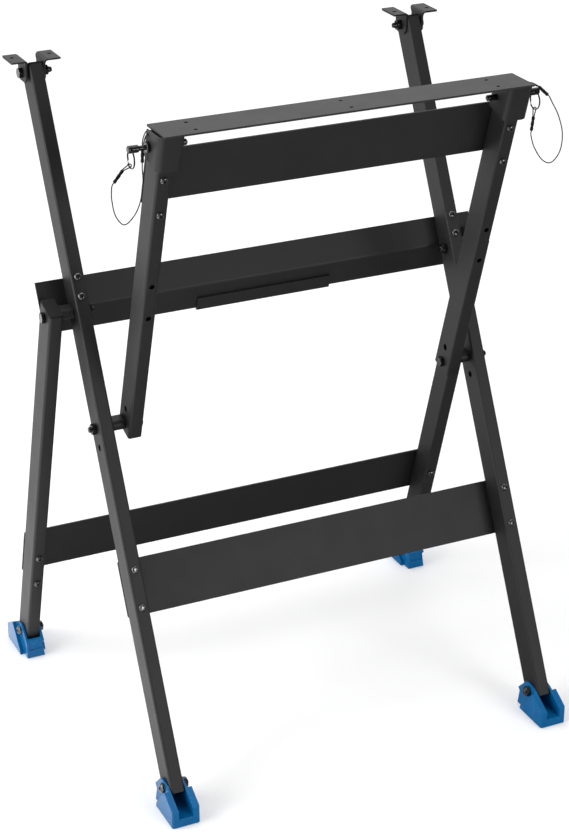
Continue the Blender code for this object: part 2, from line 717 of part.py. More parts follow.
bracket_top = RAIL_RISE - RAIL_THICKNESS - SEAT
bracket_front = HALF_DEPTH + BRACKET_FRONT_GAP + BRACKET_WALL
bracket_tall = 2 * (BRACKET_DROP + RAIL_RISE)
trim_half = 2 * TUBE_DEPTH
for side, sign in SIDES:
    near = BRACKET_OUT - ARM_SPREAD
    far = BRACKET_IN - ARM_SPREAD
    channel = bent_sheet(
        (
            (far, BRACKET_BACK_REACH),
            (far, -bracket_front),
            (near, -bracket_front),
            (near, BRACKET_BACK_REACH),
        ),
        BRACKET_WALL, BRACKET_CORNER - BRACKET_WALL, 4,
    )
    mesh = outline_solid("rail_bracket_" + side, (channel,), bracket_tall)
    mesh.transform(Matrix.Translation((0.0, 0.0, bracket_tall / 2 - BRACKET_DROP)))
    if sign < 0:
        mesh.transform(Matrix.Diagonal((-1.0, 1.0, 1.0, 1.0)))
        mesh.flip_normals()
    mesh.transform(Matrix.Rotation(math.radians(ARM_LEAN), 4, "X"))
    bracket = add_part(
        "rail_bracket_" + side, mesh, STEEL_BLACK, 0.5, 0.3, top_rail,
        (sign * ARM_SPREAD, 0.0, 0.0),
    )
    trim = block("rail_bracket_trim", (-trim_half, -trim_half, bracket_top), (trim_half, trim_half, 2 * bracket_tall))
    combine(bracket, trim, "DIFFERENCE")
    wall_out = sign * (near - BRACKET_WALL / 2)
    wall_in = sign * (far + BRACKET_WALL / 2)
    short = 3 * BRACKET_WALL
    bracket_holes = [
        hole("X", (0.0, 0.0, 0.0), PIN_DIAMETER),
        hole("X", (wall_out, EYE_BACK, EYE_RISE), EYE_DIAMETER - 2 * HOLE_CLEARANCE, short),
        hole("X", (wall_in, -bracket_front / 2, bracket_top), 2 * NOTCH_RADIUS, short),
    ]
    combine(bracket, rods("rail_bracket_drill", bracket_holes), "DIFFERENCE")

# Lock pins with split rings
collar_start = SEAT
neck_start = collar_start + PIN_COLLAR_LENGTH
grip_start = neck_start + PIN_NECK_LENGTH
grip_end = grip_start + PIN_GRIP_LENGTH
pin_profile = (
    (0.0, grip_end),
    (PIN_GRIP_DIAMETER / 2 - PIN_EDGE, grip_end),
    (PIN_GRIP_DIAMETER / 2, grip_end - PIN_EDGE),
    (PIN_GRIP_DIAMETER / 2, grip_start + PIN_EDGE),
    (PIN_NECK_DIAMETER / 2 + PIN_EDGE, grip_start),
    (PIN_NECK_DIAMETER / 2, grip_start - PIN_EDGE),
    (PIN_NECK_DIAMETER / 2, neck_start),
    (PIN_COLLAR_DIAMETER / 2 - PIN_EDGE, neck_start),
    (PIN_COLLAR_DIAMETER / 2, neck_start - PIN_EDGE),
    (PIN_COLLAR_DIAMETER / 2, collar_start),
    (PIN_DIAMETER / 2, collar_start),
    (PIN_DIAMETER / 2, 2 * PIN_EDGE - PIN_TIP_REACH),
    (PIN_DIAMETER / 2 - 2 * PIN_EDGE, -PIN_TIP_REACH),
    (0.0, -PIN_TIP_REACH),
)
ring_out = grip_end - RING_INSET
lock_pins = {}
for side, sign in SIDES:
    mesh = turned_solid("lock_pin_" + side, pin_profile, SHANK_SEGMENTS)
    mesh.transform(Matrix.Rotation(math.radians(90.0 * sign), 4, "Y"))
    lock_pin = add_part(
        "lock_pin_" + side, mesh, FASTENER_BLACK, 0.4, 0.6, None,
        pin_place + Vector((sign * BRACKET_OUT, 0.0, 0.0)),
    )
    cross_place = Vector((sign * ring_out, 0.0, 0.0))
    cross_hole = rods("lock_pin_drill", [("Y", cross_place, RING_HOLE_DIAMETER, 3 * PIN_GRIP_DIAMETER)])
    combine(lock_pin, cross_hole, "DIFFERENCE")
    ring_points = []
    for index in range(RING_SEGMENTS):
        angle = math.tau * index / RING_SEGMENTS
        ring_points.append((0.0, RING_RADIUS * math.sin(angle), RING_RADIUS * (math.cos(angle) - 1.0)))
    ring = wire_solid("split_ring_" + side, ring_points, RING_WIRE, True, 1)
    add_part(
        "split_ring_" + side, ring, FASTENER_BLACK, 0.35, 0.9, lock_pin,
        (sign * ring_out, 0.0, 0.0),
    )
    lock_pins[side] = lock_pin

# Lanyards: a steel cable with a crimped loop at each end, from the bracket's eye to the split ring.
# Points are out from the bracket's face, back from the pin and up; a ferrule has its start and its aim.
LANYARDS = {
    "left": {
        "anchor": ((0.0036, 0.0115, -0.004), (0.0041, 0.0125, -0.0225)),
        "loop": (
            (0.0036, 0.0116, -0.008), (0.0034, 0.0098, -0.002), (0.0030, 0.0056, 0.0080),
            (0.0018, 0.0024, 0.0140), (-0.0010, 0.0018, 0.0149), (-0.0031, 0.0036, 0.0161),
            (-0.0031, 0.0072, 0.0174), (-0.0008, 0.0104, 0.0158), (0.0024, 0.0116, 0.0080),
            (0.0034, 0.0124, -0.0010),
        ),
        "ring_angle": 30.0,
        "ring_end": ((0.0316, 0.0059, -0.0262), (0.0436, 0.0059, -0.0406)),
        "route": (
            (0.0043, 0.0126, -0.032), (0.0041, 0.0120, -0.047), (0.0081, 0.0110, -0.0690),
            (0.0166, 0.0100, -0.0860), (0.0306, 0.0085, -0.0960), (0.0421, 0.0072, -0.0830),
            (0.0466, 0.0064, -0.0620), (0.0467, 0.0060, -0.0490),
        ),
    },
    "right": {
        "anchor": ((0.0196, -0.0135, 0.0100), (0.0311, -0.0135, -0.0005)),
        "loop": (
            (0.0223, -0.0135, 0.0075), (0.0189, -0.0146, 0.0108), (0.0119, -0.0102, 0.0150),
            (0.0060, -0.0048, 0.0160), (0.0020, 0.0004, 0.0155), (-0.0010, 0.0018, 0.0149),
            (-0.0031, 0.0036, 0.0161), (-0.0031, 0.0072, 0.0174), (-0.0006, 0.0104, 0.0158),
            (0.0052, 0.0070, 0.0122), (0.0119, -0.0040, 0.0116), (0.0185, -0.0122, 0.0105),
        ),
        "ring_angle": 0.0,
        "ring_end": ((0.0221, 0.0000, -0.0335), (0.0199, 0.0000, -0.0520)),
        "route": (
            (0.0401, -0.0130, -0.0120), (0.0531, -0.0110, -0.0340), (0.0621, -0.0080, -0.0600),
            (0.0611, -0.0055, -0.0840), (0.0501, -0.0035, -0.0980), (0.0371, -0.0020, -0.0930),
            (0.0251, -0.0008, -0.0750), (0.0203, -0.0002, -0.0610),
        ),
    },
}


def sleeve(name, start, end):
    """A crimped ferrule between two points, with softened ends."""
    axis = end - start
    half = axis.length / 2
    radius = FERRULE_DIAMETER / 2
    soft = radius * 0.3
    profile = (
        (0.0, half), (radius - soft, half), (radius, half - soft),
        (radius, soft - half), (radius - soft, -half), (0.0, -half),
    )
    mesh = turned_solid(name, profile, 10)
    mesh.transform(axis.to_track_quat("Z", "Y").to_matrix().to_4x4())
    mesh.transform(Matrix.Translation((start + end) / 2))
    return mesh


for side, sign in SIDES:
    lanyard = LANYARDS[side]
    flip = Vector((sign, 1.0, 1.0))
    wall_place = pin_place + Vector((sign * BRACKET_OUT, 0.0, 0.0))
    anchor_start, anchor_aim = [Vector(point) * flip for point in lanyard["anchor"]]
    leave = (anchor_aim - anchor_start).normalized()
    anchor_end = anchor_start + leave * FERRULE_LENGTH
    anchor = add_part(
        "lanyard_anchor_" + side,
        sleeve("lanyard_anchor_" + side, anchor_start, anchor_end),
        FASTENER_BLACK, 0.5, 0.1, top_rail, (sign * BRACKET_OUT, 0.0, 0.0),
    )
    loop = smooth_path([Vector(point) * flip for point in lanyard["loop"]], 2, True)
    combine(anchor, wire_solid("lanyard_anchor_loop", loop, CABLE_DIAMETER, True, 1), "UNION")

    hook = math.radians(lanyard["ring_angle"])
    hook_point = Vector((0.0, RING_RADIUS * math.sin(hook), -RING_RADIUS * (1.0 + math.cos(hook))))
    hook_point.x = sign * ring_out
    ring_start, ring_aim = [Vector(point) * flip for point in lanyard["ring_end"]]
    arrive = (ring_aim - ring_start).normalized()
    ring_finish = ring_start + arrive * FERRULE_LENGTH
    end = add_part(
        "lanyard_ring_end_" + side,
        sleeve("lanyard_ring_end_" + side, ring_start, ring_finish),
        FASTENER_BLACK, 0.5, 0.1, lock_pins[side],
    )
    toward = (ring_start - hook_point).normalized()
    across = Vector((0.0, 1.0, 0.0)).cross(toward).normalized()
    eye_radius = (RING_WIRE + CABLE_DIAMETER) / 2 + LOOP_SLACK
    eye = []
    for step in range(9):
        angle = math.radians(-120.0 + 30.0 * step)
        eye.append(hook_point - toward * eye_radius * math.cos(angle) + across * eye_radius * math.sin(angle))
    eye.append(ring_start + toward * 2 * CABLE_DIAMETER)
    combine(end, wire_solid("lanyard_ring_eye", eye, CABLE_DIAMETER, True, 1), "UNION")

    first = anchor_end + leave * SEAT
    last = ring_finish + arrive * SEAT
    stops = [first, first + leave * 2 * CABLE_DIAMETER]
    stops += [Vector(point) * flip for point in lanyard["route"]]
    stops += [last + arrive * 2 * CABLE_DIAMETER, last]
    cable = wire_solid("lanyard_cable_" + side, smooth_path(stops, 3), CABLE_DIAMETER)
    add_part(
        "lanyard_cable_" + side, cable, (0.05, 0.05, 0.052), 0.35, 0.8, top_rail,
        (sign * BRACKET_OUT, 0.0, 0.0),
    )

# Bench brackets: two bent angles on one bolt through each main leg's top
bench_place = Vector((0.0, MAIN_GROUND_Y + BENCH_REACH * SIN_MAIN, BENCH_REACH * COS_MAIN))
bench_grip = TUBE_WIDTH + BENCH_BOSS + 2 * (BENCH_SHEET + 2 * SEAT) + PIVOT_NUT_HEIGHT + BOLT_TAIL
bench_bolt_mesh = bolt_mesh("bench_bolt", PIVOT_BOLT_DIAMETER, PIVOT_HEX_WIDTH, PIVOT_HEAD_HEIGHT, bench_grip)
tab_outline = (
    (-BENCH_FORE, BENCH_RISE + SEAT),
    (-BENCH_TAB_HALF, BENCH_RISE - BENCH_SHEET - BENCH_BEND),
    (-BENCH_TAB_HALF, BENCH_TAB_CORNER - BENCH_TAB_DROP),
    (BENCH_TAB_CORNER - BENCH_TAB_HALF, -BENCH_TAB_DROP),
    (BENCH_TAB_HALF - BENCH_TAB_CORNER, -BENCH_TAB_DROP),
    (BENCH_TAB_HALF, BENCH_TAB_CORNER - BENCH_TAB_DROP),
    (BENCH_TAB_HALF, BENCH_RISE - BENCH_SHEET - BENCH_BEND),
    (BENCH_DEPTH - BENCH_FORE, BENCH_RISE + SEAT),
)
for side, sign in SIDES:
    seat = TUBE_WIDTH / 2 + 2 * SEAT + BENCH_SHEET + BENCH_BOSS
    bolt = add_part(
        "bench_bolt_" + side, bench_bolt_mesh.copy(), FASTENER_BLACK, 0.35, 0.8, None,
        bench_place + Vector((sign * (MAIN_LEG_SPREAD + seat), 0.0, 0.0)),
        (0.0, 0.0, 0.0 if sign > 0 else math.pi),
    )
    nut = nut_mesh("bench_nut_" + side, PIVOT_BOLT_DIAMETER, PIVOT_HEX_WIDTH, PIVOT_NUT_HEIGHT)
    add_part(
        "bench_nut_" + side, nut, FASTENER_BLACK, 0.35, 0.8, bolt,
        (BENCH_BOSS - 2 * seat, 0.0, 0.0),
    )
    for place, out in (("outer", 1.0), ("inner", -1.0)):
        section = bent_sheet(
            (
                (0.0, -BENCH_TAB_DROP - BENCH_SHEET),
                (0.0, BENCH_RISE),
                (BENCH_FLANGE, BENCH_RISE),
            ),
            -BENCH_SHEET, BENCH_BEND, 4,
        )
        mesh = outline_solid("bench_bracket", (section,), BENCH_DEPTH)
        mesh.transform(Matrix(((1, 0, 0, 0), (0, 0, -1, 0), (0, 1, 0, 0), (0, 0, 0, 1))))
        mesh.transform(Matrix.Translation((0.0, BENCH_DEPTH / 2 - BENCH_FORE, 0.0)))
        if out < 0:
            mesh.transform(Matrix.Diagonal((-1.0, 1.0, 1.0, 1.0)))
            mesh.flip_normals()
        inner_face = -BENCH_SHEET - SEAT
        if out < 0:
            inner_face -= TUBE_WIDTH + BENCH_BOSS + 2 * SEAT
        bracket = add_part(
            "bench_bracket_" + place + "_" + side, mesh, STEEL_BLACK, 0.5, 0.3, bolt,
            (inner_face, 0.0, 0.0),
        )
        shape = along_x(outline_solid("bench_bracket_shape", (tab_outline,), 4 * BENCH_FLANGE))
        combine(bracket, shape, "INTERSECT")
        if out > 0:
            boss_middle = Vector(((BENCH_SHEET / 2 - BENCH_BOSS) / 2, 0.0, 0.0))
            boss = ("X", boss_middle, BENCH_BOSS_DIAMETER, BENCH_BOSS + BENCH_SHEET / 2)
            combine(bracket, rods("bench_bracket_boss", [boss]), "UNION")
        drill = [
            hole("X", (0.0, 0.0, 0.0), PIVOT_BOLT_DIAMETER),
            hole("Z", (out * BENCH_HOLE_OUT, -BENCH_HOLE_FORE, BENCH_RISE), BENCH_HOLE_DIAMETER, 4 * BENCH_SHEET),
        ]
        combine(bracket, rods("bench_bracket_drill", drill), "DIFFERENCE")

# Feet: moulded shoes with a slot for the tube, turning on a cross bolt
ground = -FOOT_PIVOT_HEIGHT
half_body = FOOT_BODY_WIDTH / 2
half_toe = FOOT_TOE_WIDTH / 2
slot_half = TUBE_WIDTH / 2 + FOOT_SLOT_GAP
body_outline = [
    (-FOOT_TOE, ground),
    (-FOOT_TOE, ground + FOOT_TOE_HEIGHT),
    (-FOOT_SHOULDER, ground + FOOT_SHOULDER_HEIGHT),
]
body_outline += arc((FOOT_HUMP_BACK, 0.0), FOOT_HUMP_RADIUS, 100, 45, 5)
body_outline += [
    (FOOT_HEEL, ground + FOOT_HEEL_HEIGHT),
    (FOOT_HEEL, ground),
]
toe_slope = (FOOT_SHOULDER_HEIGHT - FOOT_TOE_HEIGHT) / (FOOT_TOE - FOOT_SHOULDER)
pad_outline = (
    (-FOOT_TOE, ground),
    (-FOOT_TOE, ground + FOOT_TOE_HEIGHT),
    (-FOOT_PAD_CREST, ground + FOOT_TOE_HEIGHT + toe_slope * (FOOT_TOE - FOOT_PAD_CREST)),
    (FOOT_PAD_BACK - FOOT_PAD_DRAFT, ground + FOOT_PAD_HEIGHT),
    (FOOT_PAD_BACK, ground),
)
pad_plan = (
    (half_toe, FOOT_PAD_BACK),
    (half_toe, FOOT_TOE_CHAMFER - FOOT_TOE),
    (half_toe - FOOT_TOE_CHAMFER, -FOOT_TOE),
    (FOOT_TOE_CHAMFER - half_toe, -FOOT_TOE),
    (-half_toe, FOOT_TOE_CHAMFER - FOOT_TOE),
    (-half_toe, FOOT_PAD_BACK),
)


def foot_mesh():
    body = along_x(outline_solid("foot", (body_outline,), FOOT_BODY_WIDTH))
    source = bpy.data.objects.new("foot", body)
    PARTS.objects.link(source)
    pad = bpy.data.objects.new(
        "foot_pad", along_x(outline_solid("foot_pad", (pad_outline,), 2 * FOOT_TOE_WIDTH)),
    )
    PARTS.objects.link(pad)
    combine(pad, outline_solid("foot_plan", (pad_plan,), 4 * FOOT_PIVOT_HEIGHT), "INTERSECT")
    bpy.context.view_layer.update()
    plan_tool = pad.modifiers[0].object
    combine(source, evaluated_mesh(pad), "UNION")
    slot = block(
        "foot_slot",
        (-slot_half, -2 * FOOT_TOE, ground + FOOT_FLOOR),
        (slot_half, FOOT_HEEL - FOOT_HEEL_WALL, 2 * FOOT_HUMP_RADIUS),
    )
    combine(source, slot, "DIFFERENCE")
    recess = block(
        "foot_heel_recess",
        (-slot_half, FOOT_HEEL - FOOT_HEEL_RECESS, ground + FOOT_CREASE_HEIGHT),
        (slot_half, 2 * FOOT_HEEL, 2 * FOOT_HUMP_RADIUS),
    )
    combine(source, recess, "DIFFERENCE")
    drill = [hole("X", (0.0, 0.0, 0.0), FOOT_BOLT_DIAMETER, 2 * FOOT_TOE_WIDTH)]
    combine(source, rods("foot_drill", drill), "DIFFERENCE")
    bpy.context.view_layer.update()
    tools = [plan_tool] + [step.object for step in source.modifiers]
    mesh = evaluated_mesh(source)
    for tool in tools:
        bpy.data.objects.remove(tool, do_unlink=True)
    return mesh


foot = foot_mesh()
foot_grip = FOOT_BODY_WIDTH + 2 * SEAT + FOOT_NUT_HEIGHT + FOOT_BOLT_TAIL
foot_bolt = bolt_mesh("foot_bolt", FOOT_BOLT_DIAMETER, FOOT_HEX_WIDTH, FOOT_HEAD_HEIGHT, foot_grip)
foot_nut = nut_mesh("foot_nut", FOOT_BOLT_DIAMETER, FOOT_HEX_WIDTH, FOOT_NUT_HEIGHT)
for end_name, spread, foot_y, turn in (
    ("front", MAIN_LEG_SPREAD, -FOOT_STRIDE / 2, 0.0),
    ("rear", REAR_LEG_SPREAD, FOOT_STRIDE / 2, math.pi),
):
    for side, sign in SIDES:
        shoe = add_part(
            "foot_" + end_name + "_" + side, foot.copy(), FOOT_BLUE, 0.45, 0.0, None,
            (sign * spread, foot_y, FOOT_PIVOT_HEIGHT), (0.0, 0.0, turn),
        )
        outward = sign if turn == 0.0 else -sign
        facing = (0.0, 0.0, 0.0 if outward > 0 else math.pi)
        add_part(
            "foot_bolt_" + end_name + "_" + side, foot_bolt.copy(), FASTENER_BLACK, 0.35, 0.8, shoe,
            (outward * (half_body + SEAT), 0.0, 0.0), facing,
        )
        add_part(
            "foot_nut_" + end_name + "_" + side, foot_nut.copy(), FASTENER_BLACK, 0.35, 0.8, shoe,
            (-outward * (half_body + SEAT), 0.0, 0.0), facing,
        )
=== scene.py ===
import math

import bmesh
import bpy
from mathutils import Matrix, Vector


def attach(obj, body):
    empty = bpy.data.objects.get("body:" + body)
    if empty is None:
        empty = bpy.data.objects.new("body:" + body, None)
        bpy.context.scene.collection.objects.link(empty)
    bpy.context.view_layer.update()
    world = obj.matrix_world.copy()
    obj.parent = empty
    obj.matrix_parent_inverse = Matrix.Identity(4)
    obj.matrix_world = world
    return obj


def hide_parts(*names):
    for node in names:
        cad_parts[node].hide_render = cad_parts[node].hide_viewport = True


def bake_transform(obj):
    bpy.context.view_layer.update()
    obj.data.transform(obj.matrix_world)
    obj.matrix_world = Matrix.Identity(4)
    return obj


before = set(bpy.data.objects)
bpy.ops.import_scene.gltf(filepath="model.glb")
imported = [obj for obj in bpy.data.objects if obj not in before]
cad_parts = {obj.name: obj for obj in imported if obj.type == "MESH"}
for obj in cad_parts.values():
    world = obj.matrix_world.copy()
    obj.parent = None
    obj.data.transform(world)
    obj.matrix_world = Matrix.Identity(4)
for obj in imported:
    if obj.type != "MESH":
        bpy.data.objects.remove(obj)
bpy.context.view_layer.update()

scene = bpy.context.scene
scene.view_settings.view_transform = "Standard"

# The stand is photographed on a white sweep from its front left, a little above its rail.
# The lens is long, so the uprights stay nearly parallel.
camera_data = bpy.data.cameras.new("photo_camera")
camera_data.sensor_fit = "HORIZONTAL"
camera_data.sensor_width = 36.0
camera_data.lens = 137.87
camera_data.clip_end = 50.0
camera = bpy.data.objects.new("photo_camera", camera_data)
scene.collection.objects.link(camera)
camera.location = (-1.1529, -2.4504, 1.7006)
camera.rotation_euler = (math.radians(64.639), 0.0, math.radians(-25.047))
scene.camera = camera


# A wide matte sheet under the stand takes its soft shadow. The camera sees it lifted to white, and more
# so far away, where the lamps fade. Only in the paint's reflections does the sheet show a painted glow
# on its left, standing in for a white card beside the stand, and a painted shade elsewhere, which dims
# it there.
def calculated(tree, operation, *terms, clamp=False):
    """A Math node's result; each term is a socket to link or a fixed number."""
    step = tree.nodes.new("ShaderNodeMath")
    step.operation = operation
    step.use_clamp = clamp
    for place, term in enumerate(terms):
        if isinstance(term, float):
            step.inputs[place].default_value = term
        else:
            tree.links.new(term, step.inputs[place])
    return step.outputs[0]


def ranged(tree, source, start, stop, low, high, smooth=False):
    """A value between start and stop, taken over to low and high and held at both ends."""
    step = tree.nodes.new("ShaderNodeMapRange")
    step.interpolation_type = "SMOOTHSTEP" if smooth else "LINEAR"
    step.inputs["From Min"].default_value = start
    step.inputs["From Max"].default_value = stop
    step.inputs["To Min"].default_value = low
    step.inputs["To Max"].default_value = high
    tree.links.new(source, step.inputs["Value"])
    return step.outputs["Result"]


SWEEP_HALF = 12.0
SWEEP_DROP = 0.0006
PAPER_WHITE = (0.83, 0.83, 0.835, 1.0)
# Painted shade: the sheet's colour as seen in reflections, away from its glowing left.
PAPER_REFLECTION_SHADE = (0.34, 0.34, 0.34, 1.0)
FEET_REACH = 0.6
LIFT_REACH = 4.2
LIFT_NEAR = 0.20
LIFT_FAR = 0.66
# Painted glow: where and how strongly the sheet glows on its left, seen only in reflections.
GLOSSY_GLOW_EDGE = -0.24
GLOSSY_GLOW_FULL = -0.36
GLOSSY_GLOW_REACH = 1.5
GLOSSY_GLOW_NEAR = 1.05
GLOSSY_GLOW_FAR = 0.10
MIX_COLOR_A = 6
MIX_COLOR_B = 7
MIX_COLOR_OUT = 2
sweep_mesh = bpy.data.meshes.new("floor_sweep")
sweep_work = bmesh.new()
bmesh.ops.create_grid(sweep_work, x_segments=1, y_segments=1, size=SWEEP_HALF)
sweep_work.to_mesh(sweep_mesh)
sweep_work.free()
sweep_mesh.transform(Matrix.Translation((0.0, 0.0, -SWEEP_DROP)))
sweep = bpy.data.objects.new("floor_sweep", sweep_mesh)
scene.collection.objects.link(sweep)
paper = bpy.data.materials.new("white_paper")
paper.use_nodes = True
paper.cycles.emission_sampling = "NONE"
paper_tree = paper.node_tree
paper_nodes = paper_tree.nodes
paper_links = paper_tree.links
paper_nodes.clear()
paper_ray = paper_nodes.new("ShaderNodeLightPath").outputs
paper_place = paper_nodes.new("ShaderNodeTexCoord").outputs["Object"]
paper_reach = paper_nodes.new("ShaderNodeVectorMath")
paper_reach.operation = "LENGTH"
paper_links.new(paper_place, paper_reach.inputs[0])
paper_side = paper_nodes.new("ShaderNodeSeparateXYZ")
paper_links.new(paper_place, paper_side.inputs[0])
from_middle = paper_reach.outputs["Value"]
white_lift = ranged(paper_tree, from_middle, FEET_REACH, LIFT_REACH, LIFT_NEAR, LIFT_FAR)
seen_lift = calculated(paper_tree, "MULTIPLY", paper_ray["Is Camera Ray"], white_lift)
# Painted glow on the sheet's left, which shows only in the paint's reflections.
glossy_glow_side = ranged(paper_tree, paper_side.outputs["X"], GLOSSY_GLOW_EDGE, GLOSSY_GLOW_FULL, 0.0, 1.0, smooth=True)
glossy_glow_fade = ranged(paper_tree, from_middle, FEET_REACH, GLOSSY_GLOW_REACH, GLOSSY_GLOW_NEAR, GLOSSY_GLOW_FAR)
glossy_glow = calculated(paper_tree, "MULTIPLY", glossy_glow_side, glossy_glow_fade)
glow_strength = calculated(paper_tree, "MULTIPLY_ADD", glossy_glow, paper_ray["Is Glossy Ray"], seen_lift)
# Painted shade: reflections see the sheet darker, except on its glowing left.
reflection_shade_share = calculated(paper_tree, "SUBTRACT", paper_ray["Is Glossy Ray"], glossy_glow_side, clamp=True)
paper_reflection_shade = paper_nodes.new("ShaderNodeMix")
paper_reflection_shade.data_type = "RGBA"
paper_reflection_shade.inputs[MIX_COLOR_A].default_value = PAPER_WHITE
paper_reflection_shade.inputs[MIX_COLOR_B].default_value = PAPER_REFLECTION_SHADE
paper_links.new(reflection_shade_share, paper_reflection_shade.inputs[0])
paper_diffuse = paper_nodes.new("ShaderNodeBsdfDiffuse")
paper_links.new(paper_reflection_shade.outputs[MIX_COLOR_OUT], paper_diffuse.inputs["Color"])
paper_glow = paper_nodes.new("ShaderNodeEmission")
paper_links.new(glow_strength, paper_glow.inputs["Strength"])
paper_sum = paper_nodes.new("ShaderNodeAddShader")
paper_links.new(paper_diffuse.outputs[0], paper_sum.inputs[0])
paper_links.new(paper_glow.outputs[0], paper_sum.inputs[1])
paper_out = paper_nodes.new("ShaderNodeOutputMaterial")
paper_links.new(paper_sum.outputs[0], paper_out.inputs["Surface"])
sweep_mesh.materials.append(paper)

# The room is white to the camera and behind the stand, and dim where the stand's front faces look.
# A large softbox stands on the left and one hangs overhead. Smaller ones light the fronts of the legs
# and pick out edges and flats.
ROOM_LEVEL = 0.42
ROOM_FRONT = 0.12
ROOM_BACK = 1.0
ROOM_FRONT_Y = -0.55
ROOM_BACK_Y = 0.35
world = bpy.data.worlds.new("white_room")
scene.world = world
world.use_nodes = True
room_tree = world.node_tree
room_nodes = room_tree.nodes
room_links = room_tree.links
room = room_nodes["Background"]
room.inputs["Color"].default_value = (1.0, 1.0, 1.0, 1.0)
room_ray = room_nodes.new("ShaderNodeLightPath").outputs
room_place = room_nodes.new("ShaderNodeTexCoord")
room_split = room_nodes.new("ShaderNodeSeparateXYZ")
room_links.new(room_place.outputs["Generated"], room_split.inputs[0])
room_depth = ranged(
    room_tree, room_split.outputs["Y"], ROOM_FRONT_Y, ROOM_BACK_Y, ROOM_FRONT, ROOM_BACK, smooth=True,
)
room_mirror = room_nodes.new("ShaderNodeMix")
room_mirror.data_type = "FLOAT"
room_mirror.inputs["A"].default_value = ROOM_LEVEL
room_links.new(room_ray["Is Glossy Ray"], room_mirror.inputs["Factor"])
room_links.new(room_depth, room_mirror.inputs["B"])
room_strength = calculated(
    room_tree, "MAXIMUM", room_ray["Is Camera Ray"], room_mirror.outputs["Result"],
)
room_links.new(room_strength, room.inputs["Strength"])


def softbox(name, place, aim, width, height, power):
    """A rectangular lamp that faces a point."""
    lamp_data = bpy.data.lights.new(name, "AREA")
    lamp_data.shape = "RECTANGLE"
    lamp_data.size = width
    lamp_data.size_y = height
    lamp_data.energy = power
    lamp = bpy.data.objects.new(name, lamp_data)
    scene.collection.objects.link(lamp)
    lamp.location = place
    heading = Vector(aim) - Vector(place)
    lamp.rotation_euler = heading.to_track_quat("-Z", "Y").to_euler()


softbox("softbox_left", (-2.6, 0.2, 1.6), (0.0, 0.0, 0.5), 2.2, 2.2, 60.0)
softbox("softbox_top", (0.2, 0.6, 3.0), (0.0, 0.0, 0.6), 2.4, 2.4, 30.0)
softbox("softbox_back", (1.1, 2.2, 2.4), (0.0, 0.0, 0.9), 1.6, 1.2, 6.0)
softbox("softbox_front", (1.0, -2.8, 1.15), (0.0, 0.0, 0.2), 1.2, 1.0, 34.0)
softbox("softbox_rim", (-1.3, 2.3, 1.9), (-0.2, 0.0, 0.8), 0.9, 0.7, 4.0)
softbox("softbox_low", (-0.9, 1.25, 0.3), (-0.3, 0.0, 0.45), 0.7, 0.6, 1.2)
softbox("softbox_strip", (-2.6, -1.1, 0.8), (0.0, 0.0, 0.5), 0.5, 1.6, 16.0)


# The frames are cut from 19 x 38 mm rectangular steel tube with rounded corners, drilled across for
# the pivots and lock pins, and powder coated black: a low sheen with a fine orange-peel skin.
def noise_field(tree, shift, scale, detail):
    """Noise fixed to the object, moved by shift so that no two materials have the same pattern."""
    place = tree.nodes.new("ShaderNodeTexCoord")
    move = tree.nodes.new("ShaderNodeMapping")
    move.inputs["Location"].default_value = shift
    tree.links.new(place.outputs["Object"], move.inputs["Vector"])
    noise = tree.nodes.new("ShaderNodeTexNoise")
    noise.inputs["Scale"].default_value = scale
    noise.inputs["Detail"].default_value = detail
    tree.links.new(move.outputs[0], noise.inputs["Vector"])
    return noise.outputs["Fac"]


NOISE_LOW = 0.3
NOISE_HIGH = 0.7


def mottled(name, field, dark, light, roughness):
    """A material whose colour and roughness follow one noise: field is its shift, scale and detail."""
    material = bpy.data.materials.new(name)
    material.use_nodes = True
    tree = material.node_tree
    shader = tree.nodes["Principled BSDF"]
    noise = noise_field(tree, *field)
    tint = tree.nodes.new("ShaderNodeValToRGB")
    for stop, (position, color) in zip(tint.color_ramp.elements, (dark, light)):
        stop.position = position
        stop.color = (*color, 1.0)
    tree.links.new(noise, tint.inputs["Fac"])
    tree.links.new(tint.outputs["Color"], shader.inputs["Base Color"])
    gloss = ranged(tree, noise, NOISE_LOW, NOISE_HIGH, *roughness)
    tree.links.new(gloss, shader.inputs["Roughness"])
    return material, shader


def grained(material, field, strength, depth):
    """Gives a material a fine bumpy skin; field is a noise's shift, scale and detail."""
    tree = material.node_tree
    skin = tree.nodes.new("ShaderNodeBump")
    skin.inputs["Strength"].default_value = strength
    skin.inputs["Distance"].default_value = depth
    tree.links.new(noise_field(tree, *field), skin.inputs["Height"])
    tree.links.new(skin.outputs["Normal"], tree.nodes["Principled BSDF"].inputs["Normal"])


def powder_coat(name, shade, seed):
    """Baked black powder paint: faint clouding, an uneven sheen and fine lumps."""
    shift = (seed * 0.37, seed * 0.11, seed * 0.23)
    dark = (0.30, (shade * 0.82, shade * 0.82, shade * 0.84))
    light = (0.72, (shade * 1.22, shade * 1.22, shade * 1.25))
    paint, shader = mottled(name, (shift, 28.0, 5.0), dark, light, (0.53, 0.58))
    shader.inputs["Specular IOR Level"].default_value = 0.40
    grained(paint, (shift, 1500.0, 2.0), 0.05, 0.00012)
    return paint


def apply_modifiers(piece):
    """Keeps what a piece's modifiers make of its mesh, and drops the mesh they worked on."""
    before = piece.data
    graph = bpy.context.evaluated_depsgraph_get()
    final = bpy.data.meshes.new_from_object(piece.evaluated_get(graph))
    piece.modifiers.clear()
    piece.data = final
    bpy.data.meshes.remove(before)


WELD_REACH = 2e-6
FLAT_WITHIN = math.radians(0.6)


